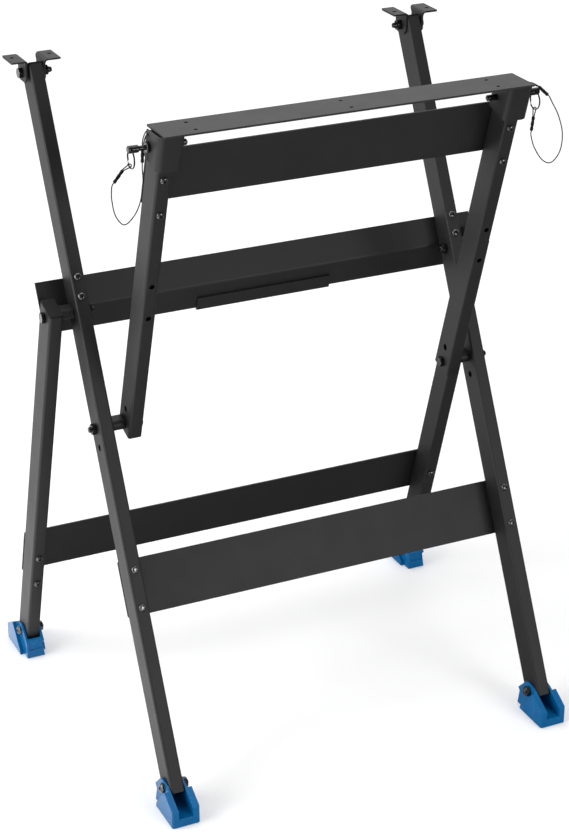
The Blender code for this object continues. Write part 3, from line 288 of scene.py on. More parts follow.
def finished_copy(node, rim, steps, crease):
    """A node's own shape as one welded skin, with its edges eased by rim and its flats kept flat."""
    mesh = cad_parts[node].data.copy()
    mesh.name = node + "_finish"
    work = bmesh.new()
    work.from_mesh(mesh)
    bmesh.ops.remove_doubles(work, verts=work.verts, dist=WELD_REACH)
    bmesh.ops.dissolve_limit(
        work, angle_limit=FLAT_WITHIN, use_dissolve_boundaries=False,
        verts=work.verts, edges=work.edges, delimit={"NORMAL"},
    )
    work.to_mesh(mesh)
    work.free()
    mesh.materials.clear()
    mesh.shade_smooth()
    mesh.set_sharp_from_angle(angle=math.radians(crease))
    piece = bpy.data.objects.new(node + "_finish", mesh)
    scene.collection.objects.link(piece)
    if rim > 0.0:
        ease = piece.modifiers.new("eased edges", "BEVEL")
        ease.width = rim
        ease.segments = steps
        ease.limit_method = "ANGLE"
        ease.angle_limit = math.radians(crease)
        ease.use_clamp_overlap = True
    flats = piece.modifiers.new("flat faces", "WEIGHTED_NORMAL")
    flats.keep_sharp = True
    flats.weight = 90
    apply_modifiers(piece)
    return piece


def dress(node, body, material, rim=0.0, steps=2, crease=40.0):
    """Puts a finished copy on the stand in the node's place."""
    piece = finished_copy(node, rim, steps, crease)
    piece.data.materials.append(material)
    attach(piece, body)
    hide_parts(node)


tube_paint = powder_coat("tube_powder_coat", shade=0.0066, seed=1.0)
for side in ("left", "right"):
    dress("main_leg_" + side, "main_frame", tube_paint)
    dress("rear_leg_" + side, "rear_frame", tube_paint)
    dress("arm_" + side, "arm_frame", tube_paint)


# Moulded black plugs close the upper ends of the main and rear legs. Their flange lies flush with
# the tube's outside, so only a thin dull edge and the flat top show.
def moulded_plastic(name, color, roughness, specular, seed, speck):
    """Injection-moulded plastic: a faint spark-eroded grain and slightly uneven gloss."""
    shift = (seed * 0.19, seed * 0.41, seed * 0.07)
    dark = (0.28, [channel * 0.88 for channel in color])
    light = (0.74, [channel * 1.10 for channel in color])
    gloss = (roughness - 0.05, roughness + 0.06)
    plastic, shader = mottled(name, (shift, 60.0, 4.0), dark, light, gloss)
    shader.inputs["Specular IOR Level"].default_value = specular
    grained(plastic, (shift, 2200.0, 1.0), speck, 0.00008)
    return plastic


PLUG_RIM = 0.0005
PLUG_BLACK = (0.006, 0.006, 0.0064)
plug_plastic = moulded_plastic(
    "plug_plastic", PLUG_BLACK, roughness=0.50, specular=0.12, seed=2.0, speck=0.25,
)
for side in ("left", "right"):
    dress("main_leg_plug_" + side, "main_frame", plug_plastic, PLUG_RIM)
    dress("rear_leg_plug_" + side, "rear_frame", plug_plastic, PLUG_RIM)

# The crossbars are sheared from 2.5 mm sheet and powder coated with the tubes. Three are flat;
# the upper one is bent to a wide V whose lower wing carries a folded grip lip.
SHEET_RIM = 0.0004
sheet_paint = powder_coat("sheet_powder_coat", shade=0.0070, seed=5.0)
dress("lower_crossbar", "main_frame", sheet_paint, SHEET_RIM)
dress("upper_crossbar", "main_frame", sheet_paint, SHEET_RIM)
dress("rear_crossbar", "rear_frame", sheet_paint, SHEET_RIM)
dress("arm_crossbar", "arm_frame", sheet_paint, SHEET_RIM)


# Black M6 button-head screws go through each tube from its front into a hex nut behind the crossbar.
# The heads are low domes with a hex socket.
def black_oxide(name, shade, seed):
    """Oiled black-oxide steel: dark metal with a soft, slightly blotchy shine."""
    shift = (seed * 0.29, seed * 0.53, seed * 0.17)
    dark = (0.32, (shade * 0.7, shade * 0.7, shade * 0.72))
    light = (0.74, (shade * 1.7, shade * 1.68, shade * 1.66))
    steel, shader = mottled(name, (shift, 340.0, 4.0), dark, light, (0.10, 0.20))
    shader.inputs["Metallic"].default_value = 0.85
    return steel


def scaled(tree, source, factor):
    """A length times a fixed factor."""
    return calculated(tree, "MULTIPLY", source, factor)


def summed(tree, first, second):
    """Two lengths added."""
    return calculated(tree, "ADD", first, second)


def bar(tree, sides, rings, radius, depth, middle):
    """A capped prism or rod along local Z, moved to its middle height."""
    rod = tree.nodes.new("GeometryNodeMeshCylinder")
    rod.inputs["Vertices"].default_value = sides
    rod.inputs["Side Segments"].default_value = rings
    tree.links.new(radius, rod.inputs["Radius"])
    tree.links.new(depth, rod.inputs["Depth"])
    lift = tree.nodes.new("GeometryNodeTransform")
    height = tree.nodes.new("ShaderNodeCombineXYZ")
    tree.links.new(middle, height.inputs["Z"])
    tree.links.new(rod.outputs["Mesh"], lift.inputs["Geometry"])
    tree.links.new(height.outputs[0], lift.inputs["Translation"])
    return lift.outputs["Geometry"]


def barrelled(tree, shape, low, depth, pull, power):
    """Draws the shape in towards its axis as it rises from low, to make a dome or a chamfer."""
    spot = tree.nodes.new("GeometryNodeInputPosition")
    split = tree.nodes.new("ShaderNodeSeparateXYZ")
    tree.links.new(spot.outputs[0], split.inputs[0])
    above = calculated(tree, "SUBTRACT", split.outputs["Z"], low)
    share = calculated(tree, "DIVIDE", above, depth, clamp=True)
    curve = calculated(tree, "POWER", share, power)
    narrow = calculated(tree, "MULTIPLY_ADD", curve, -pull, 1.0)
    across = tree.nodes.new("ShaderNodeCombineXYZ")
    for axis in ("X", "Y"):
        drawn_in = calculated(tree, "MULTIPLY", split.outputs[axis], narrow)
        tree.links.new(drawn_in, across.inputs[axis])
    tree.links.new(split.outputs["Z"], across.inputs["Z"])
    move = tree.nodes.new("GeometryNodeSetPosition")
    tree.links.new(shape, move.inputs["Geometry"])
    tree.links.new(across.outputs[0], move.inputs["Position"])
    return move.outputs["Geometry"]


def joined(tree, operation, first, *others):
    """A Boolean of closed shapes."""
    step = tree.nodes.new("GeometryNodeMeshBoolean")
    step.operation = operation
    step.solver = "EXACT"
    if operation == "DIFFERENCE":
        tree.links.new(first, step.inputs["Mesh 1"])
    else:
        tree.links.new(first, step.inputs["Mesh 2"])
    for other in others:
        tree.links.new(other, step.inputs["Mesh 2"])
    return step.outputs["Mesh"]


HEX_SIDES = 6
HEX_CORNER = 1.0 / math.sqrt(3.0)
ROUND_SIDES = 36
ROUND_RINGS = 10
TURNED_WIDTH = 0.62
TURNED_OVER = 1.001
CHAMFER_FROM = 0.70
CHAMFER_HEIGHT = 0.30


def hex_block(tree, width, height, base, sign):
    """A hexagon on base, up or down by sign, its far corners rounded off by a turned chamfer."""
    middle = summed(tree, base, scaled(tree, height, 0.5 * sign))
    prism = bar(tree, HEX_SIDES, 1, scaled(tree, width, HEX_CORNER), height, middle)
    turned_radius = scaled(tree, width, TURNED_WIDTH)
    turned_height = scaled(tree, height, TURNED_OVER)
    turned = bar(tree, ROUND_SIDES, ROUND_RINGS, turned_radius, turned_height, middle)
    chamfer_start = summed(tree, base, scaled(tree, height, CHAMFER_FROM * sign))
    chamfer_depth = scaled(tree, height, CHAMFER_HEIGHT * sign)
    turned = barrelled(tree, turned, chamfer_start, chamfer_depth, pull=0.19, power=1.3)
    return joined(tree, "INTERSECT", prism, turned)


def placed_on_points(tree, points, shape, material):
    """One copy of the shape on each point, turned by the point's facing, made one mesh."""
    facing = tree.nodes.new("GeometryNodeInputNamedAttribute")
    facing.data_type = "FLOAT_VECTOR"
    facing.inputs["Name"].default_value = "facing"
    turn = tree.nodes.new("FunctionNodeEulerToRotation")
    tree.links.new(facing.outputs["Attribute"], turn.inputs[0])
    copies = tree.nodes.new("GeometryNodeInstanceOnPoints")
    tree.links.new(points, copies.inputs["Points"])
    tree.links.new(shape, copies.inputs["Instance"])
    tree.links.new(turn.outputs[0], copies.inputs["Rotation"])
    real = tree.nodes.new("GeometryNodeRealizeInstances")
    tree.links.new(copies.outputs["Instances"], real.inputs["Geometry"])
    paint = tree.nodes.new("GeometryNodeSetMaterial")
    tree.links.new(real.outputs["Geometry"], paint.inputs["Geometry"])
    tree.links.new(material, paint.inputs["Material"])
    return paint.outputs["Geometry"]


def fastener_tree(name, sizes):
    """A node tree that takes points, a material and the named sizes; returned with its inputs."""
    tree = bpy.data.node_groups.new(name, "GeometryNodeTree")
    tree.interface.new_socket(name="Geometry", in_out="OUTPUT", socket_type="NodeSocketGeometry")
    tree.interface.new_socket(name="Geometry", in_out="INPUT", socket_type="NodeSocketGeometry")
    tree.interface.new_socket(name="Material", in_out="INPUT", socket_type="NodeSocketMaterial")
    for label, size in sizes.items():
        socket = tree.interface.new_socket(name=label, in_out="INPUT", socket_type="NodeSocketFloat")
        socket.default_value = size
    return tree, tree.nodes.new("NodeGroupInput").outputs


SHANK_RINGS = 40
TIP_SHARE = 0.6


def finish_fastener(tree, given, head, nut_width, sides, bite):
    """Joins the head to a shank, which bites into it, and to a nut; puts a copy on every point."""
    reach = summed(tree, summed(tree, given["Grip"], given["Nut Height"]), given["Tail"])
    length = summed(tree, reach, scaled(tree, given["Head Height"], bite))
    middle = summed(tree, scaled(tree, reach, -0.5), scaled(tree, given["Head Height"], bite / 2))
    shank = bar(tree, sides, SHANK_RINGS, scaled(tree, given["Shank Diameter"], 0.5), length, middle)
    taper = scaled(tree, given["Tail"], -TIP_SHARE)
    tip = scaled(tree, summed(tree, reach, taper), -1.0)
    shank = barrelled(tree, shank, tip, taper, pull=0.18, power=1.0)
    nut_seat = scaled(tree, given["Grip"], -1.0)
    nut = hex_block(tree, nut_width, given["Nut Height"], nut_seat, -1.0)
    whole = joined(tree, "UNION", head, shank, nut)
    finish = placed_on_points(tree, given["Geometry"], whole, given["Material"])
    end = tree.nodes.new("NodeGroupOutput")
    tree.links.new(finish, end.inputs["Geometry"])


def screw_tree():
    """Button-head screw with its seat at Z = 0 and its nut below, at the grip's far end."""
    tree, given = fastener_tree("button_screw", {
        "Head Diameter": 0.0105, "Head Height": 0.0033, "Socket Width": 0.004, "Shank Diameter": 0.006,
        "Grip": BAR_GRIP, "Nut Width": 0.010, "Nut Height": 0.005, "Tail": 0.0015,
    })
    height = given["Head Height"]
    head_radius = scaled(tree, given["Head Diameter"], 0.5)
    head = bar(tree, ROUND_SIDES, ROUND_RINGS, head_radius, height, scaled(tree, height, 0.5))
    dome_low = scaled(tree, height, 0.12)
    dome_height = scaled(tree, height, 0.88)
    head = barrelled(tree, head, dome_low, dome_height, pull=0.46, power=2.2)
    socket_radius = scaled(tree, given["Socket Width"], HEX_CORNER)
    socket = bar(tree, HEX_SIDES, 1, socket_radius, scaled(tree, height, 1.2), height)
    head = joined(tree, "DIFFERENCE", head, socket)
    finish_fastener(tree, given, head, given["Nut Width"], sides=20, bite=0.2)
    return tree


FASTENER_CREASE = math.radians(32.0)


def fasteners(name, tree, spots, material, sizes=None):
    """Runs a tree on spots, each a seat and its head's turn; sizes replace some of the tree's own."""
    mesh = bpy.data.meshes.new(name)
    mesh.from_pydata([tuple(seat) for seat, facing in spots], [], [])
    turn = mesh.attributes.new("facing", "FLOAT_VECTOR", "POINT")
    turn.data.foreach_set("vector", [value for seat, facing in spots for value in facing])
    piece = bpy.data.objects.new(name, mesh)
    scene.collection.objects.link(piece)
    step = piece.modifiers.new(tree.name, "NODES")
    step.node_group = tree
    choices = {**(sizes or {}), "Material": material}
    for item in tree.interface.items_tree:
        if item.in_out == "INPUT" and item.name in choices:
            step[item.identifier] = choices[item.name]
    apply_modifiers(piece)
    piece.data.shade_smooth()
    piece.data.set_sharp_from_angle(angle=FASTENER_CREASE)
    return piece


TUBE_HALF_DEPTH = 0.019
BAR_GRIP = 0.0409
SEAT_LIFT = 0.00005
MAIN_SPREAD = 0.278
REAR_SPREAD = 0.3176
ARM_SPREAD = 0.2384
QUARTER = math.radians(90.0)
MAIN_LEAN = math.radians(26.8)
REAR_LEAN = math.radians(17.2)
ARM_LEAN = math.radians(17.5)
main_foot = Vector((0.0, -0.248070, 0.0))
rear_pivot = Vector((0.0, 0.055371, 0.600710))
arm_pivot = Vector((0.0, -0.014515, 0.462359))
main_up = Vector((0.0, math.sin(MAIN_LEAN), math.cos(MAIN_LEAN)))
rear_down = Vector((0.0, math.sin(REAR_LEAN), -math.cos(REAR_LEAN)))
arm_up = Vector((0.0, -math.sin(ARM_LEAN), math.cos(ARM_LEAN)))
main_face = Vector((0.0, -math.cos(MAIN_LEAN), math.sin(MAIN_LEAN)))
rear_face = Vector((0.0, -math.cos(REAR_LEAN), -math.sin(REAR_LEAN)))
arm_face = Vector((0.0, -math.cos(ARM_LEAN), -math.sin(ARM_LEAN)))


def front_screws(start, along, face, lean_turn, spread, stations):
    """Screw seats on the front faces of a pair of tubes."""
    spots = []
    for sign in (-1.0, 1.0):
        for station in stations:
            seat = start + along * station + face * (TUBE_HALF_DEPTH + SEAT_LIFT)
            seat.x = sign * spread
            spots.append((seat, (lean_turn, 0.0, 0.0)))
    return spots


MAIN_STATIONS = (0.27685, 0.32765, 0.6910, 0.7170)
REAR_STATIONS = (0.4290, 0.4798)
ARM_STATIONS = (0.3520, 0.4036)
screw_steel = black_oxide("screw_black_oxide", shade=0.075, seed=3.0)
button_screw = screw_tree()
for name, body, spots in (
    ("main_frame_screws", "main_frame",
     front_screws(main_foot, main_up, main_face, QUARTER - MAIN_LEAN, MAIN_SPREAD, MAIN_STATIONS)),
    ("rear_frame_screws", "rear_frame",
     front_screws(rear_pivot, rear_down, rear_face, QUARTER + REAR_LEAN, REAR_SPREAD, REAR_STATIONS)),
    ("arm_frame_screws", "arm_frame",
     front_screws(arm_pivot, arm_up, arm_face, QUARTER + ARM_LEAN, ARM_SPREAD, ARM_STATIONS)),
):
    screws = fasteners(name, button_screw, spots, screw_steel)
    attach(screws, body)


# The frames turn on M8 hex bolts, each through two tubes and a double-barrel spacer. The rear ones
# have their heads outside; the arms' heads are inside, low against the arm, with the nuts outside.
def bolt_tree():
    """Hex bolt with its head's seat at Z = 0 and its nut below, at the grip's far end."""
    tree, given = fastener_tree("hex_bolt", {
        "Shank Diameter": 0.008, "Hex Width": 0.013, "Head Height": 0.0053, "Nut Height": 0.0065,
        "Grip": PIVOT_GRIP, "Tail": PIVOT_TAIL,
    })
    seat = tree.nodes.new("ShaderNodeValue").outputs[0]
    seat.default_value = 0.0
    head = hex_block(tree, given["Hex Width"], given["Head Height"], seat, 1.0)
    finish_fastener(tree, given, head, given["Hex Width"], sides=24, bite=0.4)
    return tree


def sideways(sign, spin):
    """The turn that points a fastener's head along X to one side, its flats spun about that axis."""
    return tuple((Matrix.Rotation(spin, 3, "X") @ Matrix.Rotation(sign * QUARTER, 3, "Y")).to_euler())


TUBE_SEAT = 0.0098
PIVOT_GRIP = REAR_SPREAD - MAIN_SPREAD + 2 * TUBE_SEAT
PIVOT_TAIL = 0.0035
SPACER_RIM = 0.0006
hex_bolt = bolt_tree()
pivot_steel = black_oxide("pivot_black_oxide", shade=0.032, seed=7.0)
pivot_spots = []
pivot_nodes = []
for pivot, place, head_out, outward in (
    ("rear_pivot", rear_pivot, REAR_SPREAD + TUBE_SEAT, 1.0),
    ("arm_pivot", arm_pivot, ARM_SPREAD - TUBE_SEAT, -1.0),
):
    for side, sign in (("left", -1.0), ("right", 1.0)):
        seat = place + Vector((sign * head_out, 0.0, 0.0))
        pivot_spots.append((seat, sideways(sign * outward, MAIN_LEAN)))
        pivot_nodes.append(pivot + "_bolt_" + side)
        pivot_nodes.append(pivot + "_nut_" + side)
pivot_bolts = fasteners("pivot_bolts", hex_bolt, pivot_spots, pivot_steel)
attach(pivot_bolts, "main_frame")
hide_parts(*pivot_nodes)
spacer_paint = powder_coat("spacer_powder_coat", shade=0.0070, seed=8.0)
for pivot in ("rear_pivot", "arm_pivot"):
    for side in ("left", "right"):
        spacer = pivot + "_spacer_" + side
        dress(spacer, "main_frame", spacer_paint, SPACER_RIM, crease=50.0)

# The top rail is a flat drilled plate. Two bent channel brackets under it hang on the arms' ends,
# so the rail can lie level under a bench top.
BRACKET_RIM = 0.0003
rail_paint = powder_coat("rail_powder_coat", shade=0.0070, seed=9.0)
dress("top_rail", "rail", rail_paint, SHEET_RIM)
for side in ("left", "right"):
    dress("rail_bracket_" + side, "rail", rail_paint, BRACKET_RIM, crease=50.0)

# Each lock pin is a turned steel bar with a collar that stops on the bracket and a necked grip.
# A split ring of two turns of spring wire hangs in the grip's cross hole.
PIN_RIM = 0.0002
pin_steel = black_oxide("pin_black_oxide", shade=0.026, seed=11.0)
for side in ("left", "right"):
    dress("lock_pin_" + side, "lock_pin_" + side, pin_steel, PIN_RIM, crease=30.0)


SWEPT_CREASE = math.radians(55.0)


def swept(name, path, section, closed):
    """A skin along path, turned without twist; section gives the (across, up) outline at each step."""
    count = len(path)
    headings = []
    for index in range(count):
        if closed:
            heading = path[(index + 1) % count] - path[index - 1]
        else:
            heading = path[min(index + 1, count - 1)] - path[max(index - 1, 0)]
        headings.append(heading.normalized())
    side = headings[0].orthogonal().normalized()
    work = bmesh.new()
    rings = []
    travelled = 0.0
    for index in range(count):
        if index:
            swing = headings[index - 1].rotation_difference(headings[index])
            side = (swing @ side).normalized()
            travelled += (path[index] - path[index - 1]).length
        up = headings[index].cross(side)
        outline = section(index, travelled)
        rings.append([work.verts.new(path[index] + side * a + up * b) for a, b in outline])
    pairs = list(zip(rings, rings[1:]))
    if closed:
        pairs.append((rings[-1], rings[0]))
    for first, second in pairs:
        for corner in range(len(first)):
            after = (corner + 1) % len(first)
            work.faces.new((first[corner], first[after], second[after], second[corner]))
    if not closed:
        work.faces.new(rings[0][::-1])
        work.faces.new(rings[-1])
    bmesh.ops.recalc_face_normals(work, faces=work.faces)
    mesh = bpy.data.meshes.new(name)
    work.to_mesh(mesh)
    work.free()
    mesh.shade_smooth()
    mesh.set_sharp_from_angle(angle=SWEPT_CREASE)
    piece = bpy.data.objects.new(name, mesh)
    scene.collection.objects.link(piece)
    return piece


def oval(wide, thin, corners):
    """The outline of a round or flattened wire."""
    turns = [math.tau * corner / corners for corner in range(corners)]
    return [(wide * math.cos(turn), thin * math.sin(turn)) for turn in turns]


pin_axis = Vector((0.0, -0.147332, 0.8836))
BRACKET_OUT = 0.2539
RING_OUT = 0.0231
RING_RADIUS = 0.01175
RING_TURN_STEPS = 56
RING_START = 0.37
RING_PITCH = 0.00104
COIL_WIRE_RADIUS = 0.00050
COIL_CORNERS = 12
ring_steel = black_oxide("ring_black_oxide", shade=0.022, seed=13.0)
coil_outline = oval(COIL_WIRE_RADIUS, COIL_WIRE_RADIUS, COIL_CORNERS)
for side, sign in (("left", -1.0), ("right", 1.0)):
    coil = []
    for step in range(2 * RING_TURN_STEPS - 2):
        angle = math.tau * (step / RING_TURN_STEPS + RING_START)
        along = (step / (2 * RING_TURN_STEPS) - 0.5) * 2.0 * RING_PITCH
        place = pin_axis + Vector((sign * (BRACKET_OUT + RING_OUT) + along, 0.0, 0.0))
        place += Vector((0.0, RING_RADIUS * math.sin(angle), RING_RADIUS * (math.cos(angle) - 1.0)))
        coil.append(place)
    ring = swept("split_ring_coil_" + side, coil, lambda index, travelled: coil_outline, False)
    ring.data.materials.append(ring_steel)
    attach(ring, "lock_pin_" + side)
    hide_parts("split_ring_" + side)

# Each lanyard is a short steel cable with a crimped loop at both ends: one goes through the bracket's
# eye, the other round the split ring. The cable hangs in a slack bow between them.
CABLE_DIAMETER = 0.0015
CABLE_LAY = 0.0075
FERRULE_DIAMETER = 0.0044
FERRULE_LENGTH = 0.0186
LANYARD_GAP = 0.0003
LOOP_SLACK = 0.0006
RING_WIRE = 0.002
LANYARDS = {
    "left": {
        "anchor": ((0.0036, 0.0115, -0.004), (0.0041, 0.0125, -0.0225)),
        "loop": (
            (0.0036, 0.0116, -0.008), (0.0034, 0.0098, -0.002), (0.0030, 0.0056, 0.0080),
            (0.0018, 0.0024, 0.0140), (-0.0010, 0.0018, 0.0149), (-0.0031, 0.0036, 0.0161),
            (-0.0031, 0.0072, 0.0174), (-0.0008, 0.0104, 0.0158), (0.0024, 0.0116, 0.0080),
            (0.0034, 0.0124, -0.0010),
        ),
        "ring_angle": 30.0,
        "ring_end": ((0.0316, 0.0059, -0.0262), (0.0436, 0.0059, -0.0406)),
        "route": (
            (0.0043, 0.0126, -0.032), (0.0041, 0.0120, -0.047), (0.0081, 0.0110, -0.0690),
            (0.0166, 0.0100, -0.0860), (0.0306, 0.0085, -0.0960), (0.0421, 0.0072, -0.0830),
            (0.0466, 0.0064, -0.0620), (0.0467, 0.0060, -0.0490),
        ),
        "swing": (1.0, 0.0, -1.0),
        "swing_length": 0.039,
    },
    "right": {
        "anchor": ((0.0196, -0.0135, 0.0100), (0.0311, -0.0135, -0.0005)),
        "loop": (
            (0.0223, -0.0135, 0.0075), (0.0189, -0.0146, 0.0108), (0.0119, -0.0102, 0.0150),
            (0.0060, -0.0048, 0.0160), (0.0020, 0.0004, 0.0155), (-0.0010, 0.0018, 0.0149),
            (-0.0031, 0.0036, 0.0161), (-0.0031, 0.0072, 0.0174), (-0.0006, 0.0104, 0.0158),
            (0.0052, 0.0070, 0.0122), (0.0119, -0.0040, 0.0116), (0.0185, -0.0122, 0.0105),
        ),
        "ring_angle": 0.0,
        "ring_end": ((0.0221, 0.0000, -0.0335), (0.0199, 0.0000, -0.0520)),
        "route": (
            (0.0401, -0.0130, -0.0120), (0.0531, -0.0110, -0.0340), (0.0621, -0.0080, -0.0600),
            (0.0611, -0.0055, -0.0840), (0.0501, -0.0035, -0.0980), (0.0371, -0.0020, -0.0930),
            (0.0251, -0.0008, -0.0750), (0.0203, -0.0002, -0.0610),
        ),
        "swing": (-1.0, 0.0, -1.0),
        "swing_length": 0.0436,
    },
}


def smooth_path(points, per_span, cyclic=False):
    """Points on a smooth curve through the given ones."""
    places = [Vector(point) for point in points]
    count = len(places)
    spans = count if cyclic else count - 1
    path = []
    for span in range(spans):
        if cyclic:
            near = [places[(span + shift) % count] for shift in (-1, 0, 1, 2)]
        else:
            near = [places[min(max(span + shift, 0), count - 1)] for shift in (-1, 0, 1, 2)]
        for step in range(per_span):
            t = step / per_span
            point = near[1] * 2.0
            point += (near[2] - near[0]) * t
            point += (near[0] * 2.0 - near[1] * 5.0 + near[2] * 4.0 - near[3]) * t * t
            point += (near[1] * 3.0 - near[0] - near[2] * 3.0 + near[3]) * t * t * t
            path.append(point * 0.5)
    if not cyclic:
        path.append(places[-1])
    return path


CABLE_CORNERS = 24
GROOVE_DEPTH = 0.16


def stranded(radius, lay):
    """Outline of a six-strand cable that turns once in each lay."""
    def outline(index, travelled):
        """The grooved round at one step of the cable."""
        ring = []
        for step in range(CABLE_CORNERS):
            angle = math.tau * step / CABLE_CORNERS
            groove = abs(math.sin(3.0 * (angle + math.tau * travelled / lay)))
            reach = radius * (1.0 - GROOVE_DEPTH * (1.0 - groove) ** 2)
            ring.append((reach * math.cos(angle), reach * math.sin(angle)))
        return ring
    return outline


SLEEVE_STEPS = 44
SLEEVE_CORNERS = 24
LIP_START = 0.72
LIP_SLOPE = 6.0
PRESS_PLACES = (0.30, 0.70)
PRESS_WIDTH = 0.09
PRESS_SPREAD = 0.06
PRESS_DEPTH = 0.22


def crimped_sleeve(name, start, end):
    """A ferrule pressed at two places, swelling between them, with softened ends."""
    radius = FERRULE_DIAMETER / 2
    path = [start.lerp(end, step / SLEEVE_STEPS) for step in range(SLEEVE_STEPS + 1)]

    def outline(index, travelled):
        """The pressed oval at one step of the ferrule."""
        share = index / SLEEVE_STEPS
        lip = min(1.0, LIP_START + LIP_SLOPE * min(share, 1.0 - share))
        press = sum(math.exp(-((share - place) / PRESS_WIDTH) ** 2) for place in PRESS_PLACES)
        wide = radius * lip * (1.0 + PRESS_SPREAD * press)
        thin = radius * lip * (1.0 - PRESS_DEPTH * press)
        return oval(wide, thin, SLEEVE_CORNERS)

    return swept(name, path, outline, False)


def beside(wall, flip, points):
    """Points given outwards from a bracket's outer wall, as places on the stand."""
    return [wall + Vector(point) * flip for point in points]


CABLE_DARK = (0.30, (0.012, 0.012, 0.013))
CABLE_LIGHT = (0.75, (0.048, 0.048, 0.050))
CABLE_NOISE = ((0.0, 0.0, 0.0), 700.0, 2.0)
CABLE_GLOSS = (0.32, 0.32)
cable_steel, cable_shader = mottled("lanyard_steel", CABLE_NOISE, CABLE_DARK, CABLE_LIGHT, CABLE_GLOSS)
cable_shader.inputs["Metallic"].default_value = 0.9
cable_outline = stranded(CABLE_DIAMETER / 2, CABLE_LAY)
sleeve_black = black_oxide("ferrule_black", shade=0.012, seed=17.0)
for side, sign in (("left", -1.0), ("right", 1.0)):
    lanyard = LANYARDS[side]
    flip = Vector((sign, 1.0, 1.0))
    wall = pin_axis + Vector((sign * BRACKET_OUT, 0.0, 0.0))
    anchor_start, anchor_aim = beside(wall, flip, lanyard["anchor"])
    leave = (anchor_aim - anchor_start).normalized()
    anchor_end = anchor_start + leave * FERRULE_LENGTH
    ring_start, ring_aim = beside(wall, flip, lanyard["ring_end"])
    arrive = (ring_aim - ring_start).normalized()
    ring_finish = ring_start + arrive * FERRULE_LENGTH

    anchor_sleeve = crimped_sleeve("anchor_ferrule_" + side, anchor_start, anchor_end)
    anchor_sleeve.data.materials.append(sleeve_black)
    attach(anchor_sleeve, "rail")
    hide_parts("lanyard_anchor_" + side)
    anchor_path = smooth_path(beside(wall, flip, lanyard["loop"]), per_span=9, cyclic=True)
    anchor_loop = swept("anchor_loop_" + side, anchor_path, cable_outline, True)
    anchor_loop.data.materials.append(cable_steel)
    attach(anchor_loop, "rail")

    ring_sleeve = crimped_sleeve("ring_ferrule_" + side, ring_start, ring_finish)
    ring_sleeve.data.materials.append(sleeve_black)
    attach(ring_sleeve, "lock_pin_" + side)
    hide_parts("lanyard_ring_end_" + side)
    hook = math.radians(lanyard["ring_angle"])
    hook_point = wall + Vector((
        sign * RING_OUT, RING_RADIUS * math.sin(hook), -RING_RADIUS * (1.0 + math.cos(hook)),
    ))
    toward = (ring_start - hook_point).normalized()
    across = Vector((0.0, 1.0, 0.0)).cross(toward).normalized()
    eye_radius = (RING_WIRE + CABLE_DIAMETER) / 2 + LOOP_SLACK
    eye = []
    for degrees in range(-120, 121, 30):
        angle = math.radians(degrees)
        turned_out = across * math.sin(angle) - toward * math.cos(angle)
        eye.append(hook_point + turned_out * eye_radius)
    eye.append(ring_start + toward * 2.0 * CABLE_DIAMETER)
    eye_path = smooth_path(eye, per_span=6, cyclic=True)
    ring_loop = swept("ring_loop_" + side, eye_path, cable_outline, True)
    ring_loop.data.materials.append(cable_steel)
    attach(ring_loop, "lock_pin_" + side)

    first = anchor_end + leave * LANYARD_GAP
    last = ring_finish + arrive * LANYARD_GAP
    stops = [first, first + leave * 2.0 * CABLE_DIAMETER]
    stops += beside(wall, flip, lanyard["route"])
    stops += [last + arrive * 2.0 * CABLE_DIAMETER, last]
    cable_path = smooth_path(stops, per_span=24)
    cable = swept("lanyard_" + side, cable_path, cable_outline, False)
    cable.data.materials.append(cable_steel)
    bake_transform(cable)
    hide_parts("lanyard_cable_" + side)

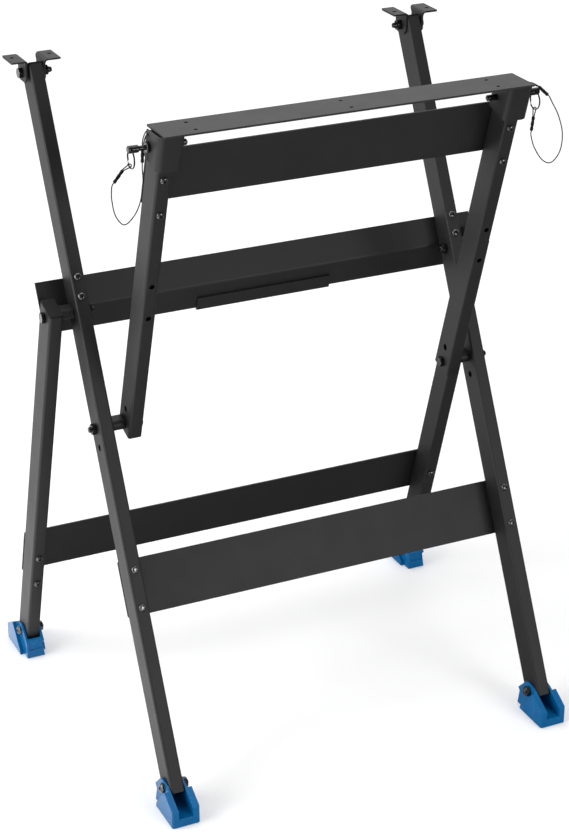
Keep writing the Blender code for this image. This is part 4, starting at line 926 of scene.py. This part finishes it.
# Two bent angle brackets sit on one M8 bolt at the top of each main leg. Their drilled flanges carry
# the back of a bench top, which can tilt on the bolt.
BENCH_SEAT = 0.0156
BENCH_BOSS = 0.0025
BENCH_SPIN = math.radians(14.0)
BENCH_TAIL = 0.0055
BENCH_SIZES = {"Grip": 2 * BENCH_SEAT - BENCH_BOSS, "Tail": BENCH_TAIL}
bench_axis = Vector((0.0, 0.199734, 0.8865))
bench_paint = powder_coat("bench_powder_coat", shade=0.0070, seed=15.0)
for side, sign in (("left", -1.0), ("right", 1.0)):
    body = "bench_bracket_" + side
    for place in ("outer", "inner"):
        dress("bench_bracket_" + place + "_" + side, body, bench_paint, SHEET_RIM)
    seat = bench_axis + Vector((sign * (MAIN_SPREAD + BENCH_SEAT), 0.0, 0.0))
    spots = [(seat, sideways(sign, BENCH_SPIN))]
    bench_bolt = fasteners("bench_hex_bolt_" + side, hex_bolt, spots, pivot_steel, BENCH_SIZES)
    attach(bench_bolt, body)
    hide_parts("bench_bolt_" + side, "bench_nut_" + side)

# The feet are moulded blue shoes with a slot for the tube's end and a wide toe. Each turns on a
# button-head cross bolt with a nut on the inner cheek.
SHOE_BLUE = (0.0008, 0.106, 0.285)
SHOE_RIM = 0.0009
shoe_plastic = moulded_plastic(
    "shoe_blue_plastic", SHOE_BLUE, roughness=0.24, specular=0.20, seed=21.0, speck=0.12,
)
FOOT_HALF = 0.0136
FOOT_CLEARANCE = 0.0003
FOOT_SEAT = FOOT_HALF + FOOT_CLEARANCE
FOOT_AXIS_Y = 0.230642
FOOT_AXIS_Z = 0.0345
FOOT_SPIN = 0.3
FOOT_BOLT_SIZES = {
    "Grip": 2 * FOOT_SEAT, "Head Diameter": 0.014, "Head Height": 0.0045, "Socket Width": 0.005,
    "Shank Diameter": 0.008, "Nut Width": 0.013, "Nut Height": 0.006, "Tail": 0.0015,
}
for end_name, spread, foot_y in (
    ("front", MAIN_SPREAD, -FOOT_AXIS_Y),
    ("rear", REAR_SPREAD, FOOT_AXIS_Y),
):
    for side, sign in (("left", -1.0), ("right", 1.0)):
        name = end_name + "_" + side
        body = "foot_" + name
        dress("foot_" + name, body, shoe_plastic, SHOE_RIM, steps=3, crease=20.0)
        seat = Vector((sign * (spread + FOOT_SEAT), foot_y, FOOT_AXIS_Z))
        spots = [(seat, sideways(sign, FOOT_SPIN))]
        foot_bolt = fasteners(
            "foot_cross_bolt_" + name, button_screw, spots, screw_steel, FOOT_BOLT_SIZES,
        )
        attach(foot_bolt, body)
        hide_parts("foot_bolt_" + name, "foot_nut_" + name)
